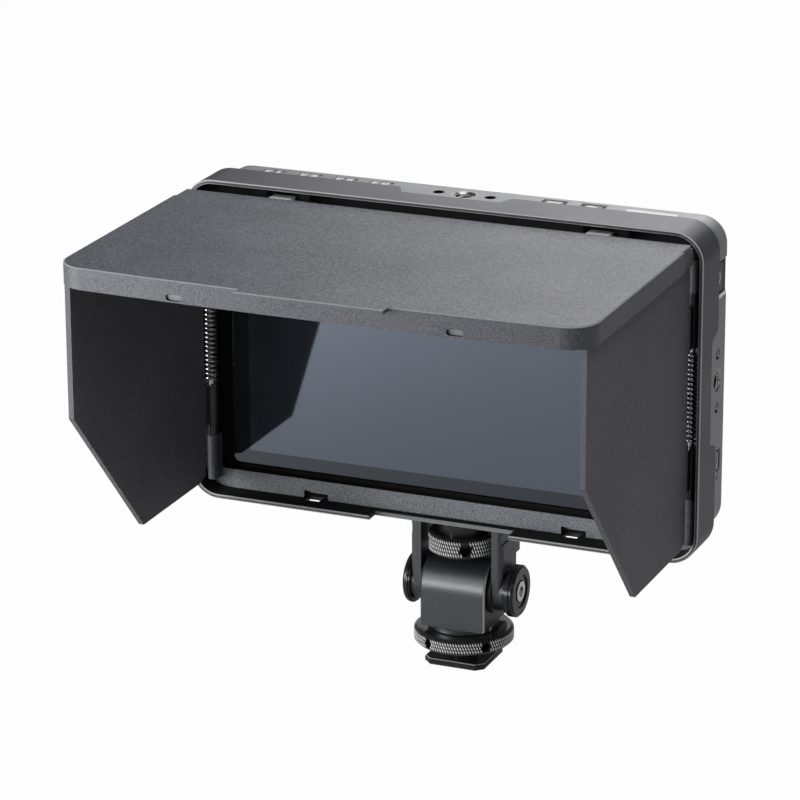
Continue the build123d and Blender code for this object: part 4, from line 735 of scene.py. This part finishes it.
def knurl_tree():
    """Rows of small pointed lozenges round a wheel's rim, left out round its radial holes."""
    tree, entry, leave = shape_tree("knurled_band", [
        ("Columns", WHOLE, 70), ("Rows", WHOLE, 3), ("Radius", FLOAT, 0.0137),
        ("Bottom", FLOAT, 0.006), ("Row Pitch", FLOAT, 0.001), ("Cell Width", FLOAT, 0.0011),
        ("Cell Height", FLOAT, 0.0011), ("Proud", FLOAT, 0.0003), ("Hole Count", FLOAT, 5.0),
        ("Hole Start", FLOAT, 0.0), ("Hole Height", FLOAT, 0.0077), ("Hole Keepout", FLOAT, 0.0018),
        ("Lean", FLOAT, 0.35), ("Finish", "NodeSocketMaterial", None)])

    def math(operation, first, second=None):
        return arithmetic(tree, operation, first, second)

    points = tree.nodes.new("GeometryNodePoints")
    tree.links.new(math("MULTIPLY", entry.outputs["Columns"], entry.outputs["Rows"]), points.inputs["Count"])
    index = tree.nodes.new("GeometryNodeInputIndex").outputs[0]
    row = math("FLOOR", math("DIVIDE", index, entry.outputs["Columns"]))
    column = math("ADD", math("MODULO", index, entry.outputs["Columns"]), math("MULTIPLY", row, 0.5))
    angle = math("MULTIPLY", column, math("DIVIDE", tau, entry.outputs["Columns"]))
    height = math("ADD", entry.outputs["Bottom"], math("MULTIPLY", row, entry.outputs["Row Pitch"]))
    place = tree.nodes.new("ShaderNodeCombineXYZ")
    tree.links.new(math("MULTIPLY", entry.outputs["Radius"], math("COSINE", angle)), place.inputs[0])
    tree.links.new(math("MULTIPLY", entry.outputs["Radius"], math("SINE", angle)), place.inputs[1])
    tree.links.new(height, place.inputs[2])
    tree.links.new(place.outputs[0], points.inputs["Position"])
    # Arc distance from the nearest hole's axis, and height from it.
    step = math("DIVIDE", tau, entry.outputs["Hole Count"])
    turn = math("ADD", math("SUBTRACT", angle, entry.outputs["Hole Start"]), math("DIVIDE", step, 2.0))
    off = math("SUBTRACT", math("FLOORED_MODULO", turn, step), math("DIVIDE", step, 2.0))
    arc = math("MULTIPLY", off, entry.outputs["Radius"])
    rise = math("SUBTRACT", height, entry.outputs["Hole Height"])
    away = math("SQRT", math("ADD", math("MULTIPLY", arc, arc), math("MULTIPLY", rise, rise)))
    keep = math("GREATER_THAN", away, entry.outputs["Hole Keepout"])
    lozenge = tree.nodes.new("GeometryNodeMeshCone")
    lozenge.inputs["Vertices"].default_value = 4
    lozenge.inputs["Radius Top"].default_value = 0.75
    lozenge.inputs["Radius Bottom"].default_value = 1.0
    lozenge.inputs["Depth"].default_value = 1.0
    scatter = tree.nodes.new("GeometryNodeInstanceOnPoints")
    tree.links.new(points.outputs[0], scatter.inputs["Points"])
    tree.links.new(keep, scatter.inputs["Selection"])
    tree.links.new(lozenge.outputs[0], scatter.inputs["Instance"])
    spin = tree.nodes.new("ShaderNodeCombineXYZ")
    spin.inputs[0].default_value = pi / 2
    tree.links.new(math("MULTIPLY", entry.outputs["Lean"], -1.0), spin.inputs[1])
    tree.links.new(math("ADD", angle, pi / 2), spin.inputs[2])
    tree.links.new(spin.outputs[0], scatter.inputs["Rotation"])
    size = tree.nodes.new("ShaderNodeCombineXYZ")
    tree.links.new(math("DIVIDE", entry.outputs["Cell Width"], 2.0), size.inputs[0])
    tree.links.new(math("DIVIDE", entry.outputs["Cell Height"], 2.0), size.inputs[1])
    tree.links.new(entry.outputs["Proud"], size.inputs[2])
    tree.links.new(size.outputs[0], scatter.inputs["Scale"])
    end_tree(tree, entry, leave, scatter.outputs[0])
    return tree


WOUND_WIRE = coil_tree()
KNURLED_BAND = knurl_tree()

# Flap springs: open-wound wire on each upright pin.
SPRING_HEIGHT = 24.6 * MM
for side in ("left", "right"):
    pin = middle(f"flap_pin_{side}")
    spring = grow(f"spring_coil_{side}", WOUND_WIRE, Turns=18.5, Radius=1.6 * MM, Height=SPRING_HEIGHT,
                  Wire=0.4 * MM, Steps=22, Sides=8, Place=Vector((pin.x, pin.y, MID_Z - SPRING_HEIGHT / 2)),
                  Finish=SPRING_STEEL.material)
    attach(spring, "monitor")
    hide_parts(f"flap_spring_{side}")


KNURL_SUNK = 0.2 * MM
KNURL_PROUD = 0.27 * MM
KNURL_LEAN = 0.3
KNURL_FILL = 0.74
KNURL_OVERLAP = 1.45
HOLE_MARGIN = 0.1 * MM


def knurl_rim(name, node, body, bottom, height, columns, rows, holes, hole_start, hole_radius):
    """Knurled band over the straight part of one wheel's rim, between its two chamfers, in near-white painted
    glints.
    """
    low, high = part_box(node)
    radius = (high[0] - low[0]) / 2
    pitch = height / rows
    band = grow(name, KNURLED_BAND, Columns=columns, Rows=rows, Radius=radius - KNURL_SUNK,
                Bottom=low[2] + bottom + pitch / 2, Row_Pitch=pitch, Lean=KNURL_LEAN,
                Cell_Width=tau * radius / columns * KNURL_FILL, Cell_Height=pitch * KNURL_OVERLAP,
                Proud=KNURL_PROUD, Hole_Count=float(holes), Hole_Start=hole_start,
                Hole_Height=low[2] + bottom + height / 2, Hole_Keepout=hole_radius + HOLE_MARGIN,
                Finish=KNURL_PAINTED_GLINT.material)
    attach(band, body)


knurl_rim("lock_ring_knurl", "lock_ring", "ring", bottom=0.75 * MM, height=3.0 * MM, columns=112, rows=3,
          holes=5, hole_start=radians(-114.0), hole_radius=1.35 * MM)
knurl_rim("thumbwheel_knurl", "thumbwheel", "thumbscrew", bottom=0.65 * MM, height=4.6 * MM, columns=84,
          rows=4, holes=4, hole_start=radians(-65.5), hole_radius=1.9 * MM)

# Screw thread showing inside the open inserts.
THREAD_LENGTH = 5.4 * MM
THREAD_SETBACK = 0.4 * MM
for side, turn in (("top", Vector((0, 0, 0))), ("side", Vector((0, pi / 2, 0)))):
    place = middle(f"thread_insert_{side}")
    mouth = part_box(f"thread_insert_{side}")[1]
    if side == "top":
        place.z = mouth[2] - THREAD_LENGTH - THREAD_SETBACK
    else:
        place.x = mouth[0] - THREAD_LENGTH - THREAD_SETBACK
    thread = grow(f"thread_ridges_{side}", WOUND_WIRE, Turns=4.25, Radius=2.62 * MM, Height=THREAD_LENGTH,
                  Wire=0.2 * MM, Steps=28, Sides=6, Place=place, Turn=turn, Finish=THREAD_BRIGHT.material)
    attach(thread, "monitor")


# ---------------------------------------------------------------- printed marks and the blank plate
def printed(name, outlines, level, body, finish, thickness=0.05 * MM):
    """Flat printed marks on the top: closed slabs over outlines given in millimetres."""
    mesh = bpy.data.meshes.new(name)
    maker = bmesh.new()
    for corners in outlines:
        low = [maker.verts.new((x * MM, y * MM, level)) for x, y in corners]
        high = [maker.verts.new((x * MM, y * MM, level + thickness)) for x, y in corners]
        maker.faces.new(list(reversed(low)))
        maker.faces.new(high)
        count = len(corners)
        for index in range(count):
            after = (index + 1) % count
            maker.faces.new((low[index], low[after], high[after], high[index]))
    bmesh.ops.recalc_face_normals(maker, faces=maker.faces)
    maker.to_mesh(mesh)
    maker.free()
    mesh.materials.append(finish.material)
    piece = bpy.data.objects.new(name, mesh)
    bpy.context.collection.objects.link(piece)
    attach(piece, body)


def strip(x0, y0, x1, y1):
    """Rectangle as an outline."""
    return [(x0, y0), (x1, y0), (x1, y1), (x0, y1)]


def round_strip(x0, y0, x1, y1, radius, steps=5):
    """Rectangle with round corners, as an outline."""
    outline = []
    for cx, cy, start in ((x1 - radius, y0 + radius, -90), (x1 - radius, y1 - radius, 0),
                          (x0 + radius, y1 - radius, 90), (x0 + radius, y0 + radius, 180)):
        for step in range(steps + 1):
            angle = radians(start + 90 * step / steps)
            outline.append((cx + radius * cos(angle), cy + radius * sin(angle)))
    return outline


# Strokes of each sign as boxes (x0, y0, x1, y1) in a cell 1 wide and 1.5 tall.
SIGNS = {
    "F": [(0.0, 0.0, 0.38, 1.5), (0.38, 1.1, 1.0, 1.5), (0.38, 0.5, 0.85, 0.88)],
    "1": [(0.3, 0.0, 0.75, 1.5)],
    "2": [(0.0, 1.1, 0.95, 1.5), (0.5, 0.88, 0.95, 1.1), (0.0, 0.52, 0.95, 0.88), (0.0, 0.34, 0.4, 0.52),
          (0.0, 0.0, 0.95, 0.34)],
    "3": [(0.0, 1.1, 0.95, 1.5), (0.5, 0.88, 0.95, 1.1), (0.2, 0.52, 0.95, 0.88), (0.5, 0.34, 0.95, 0.52),
          (0.0, 0.0, 0.95, 0.34)],
    "4": [(0.0, 0.52, 0.4, 1.5), (0.4, 0.52, 0.55, 0.88), (0.55, 0.0, 0.98, 1.5)],
}
CELL_MIDDLE = 0.75
SIGN_WIDE = 2.2
SIGN_TALL = 2.05
SIGN_BACK = 0.25
FIRST_SIGN = -2.9
SECOND_SIGN = 0.05


def key_face(node):
    """Middle of a key's top face: two places in millimetres and its level in metres."""
    place = middle(node) / MM
    return place.x, place.y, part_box(node)[1][2]


def sign(letter, left, y):
    """Outlines of one sign whose cell starts at left."""
    middle_y = y + SIGN_BACK
    return [strip(left + x0 * SIGN_WIDE, middle_y + (y0 - CELL_MIDDLE) * SIGN_TALL,
                  left + x1 * SIGN_WIDE, middle_y + (y1 - CELL_MIDDLE) * SIGN_TALL)
            for x0, y0, x1, y1 in SIGNS[letter]]


for number in range(1, 5):
    x, y, level = key_face(f"function_button_{number}")
    marks = sign("F", x + FIRST_SIGN, y) + sign(str(number), x + SECOND_SIGN, y)
    printed(f"key_mark_{number}", marks, level, f"function_key_{number}", KEY_PRINT)

# Menu sign: three bars.
BAR_HALF = 2.1
BAR_THICK = 0.65
BAR_PITCH = 0.95
x, y, level = key_face("menu_button")
bars = []
for row in range(3):
    bar_front = y - 1.2 + row * BAR_PITCH
    bars.append(strip(x - BAR_HALF, bar_front, x + BAR_HALF, bar_front + BAR_THICK))
printed("menu_mark", bars, level, "menu_key", KEY_PRINT)

# Back sign: an arrow head with a short shaft.
x, y, level = key_face("back_button")
neck = x - 0.2
arrow = [[(x - 1.9, y + 0.3), (neck, y - 1.3), (neck, y + 1.5)], strip(neck, y - 0.2, x + 1.2, y + 0.8)]
printed("back_mark", arrow, level, "back_key", KEY_PRINT)

# Blank plate in its recess, in line with the keys.
PLATE_X = 53.2
PLATE_HALF_X = 7.35
PLATE_HALF_Y = 1.95
PLATE_CORNER = 0.55
PLATE_RECESS = 0.3 * MM
plate = round_strip(PLATE_X - PLATE_HALF_X, y - PLATE_HALF_Y, PLATE_X + PLATE_HALF_X, y + PLATE_HALF_Y,
                    PLATE_CORNER)
printed("top_blank_plate", [plate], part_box("rear_housing")[1][2] - PLATE_RECESS, "monitor",
        BLANK_PLATE, thickness=0.28 * MM)
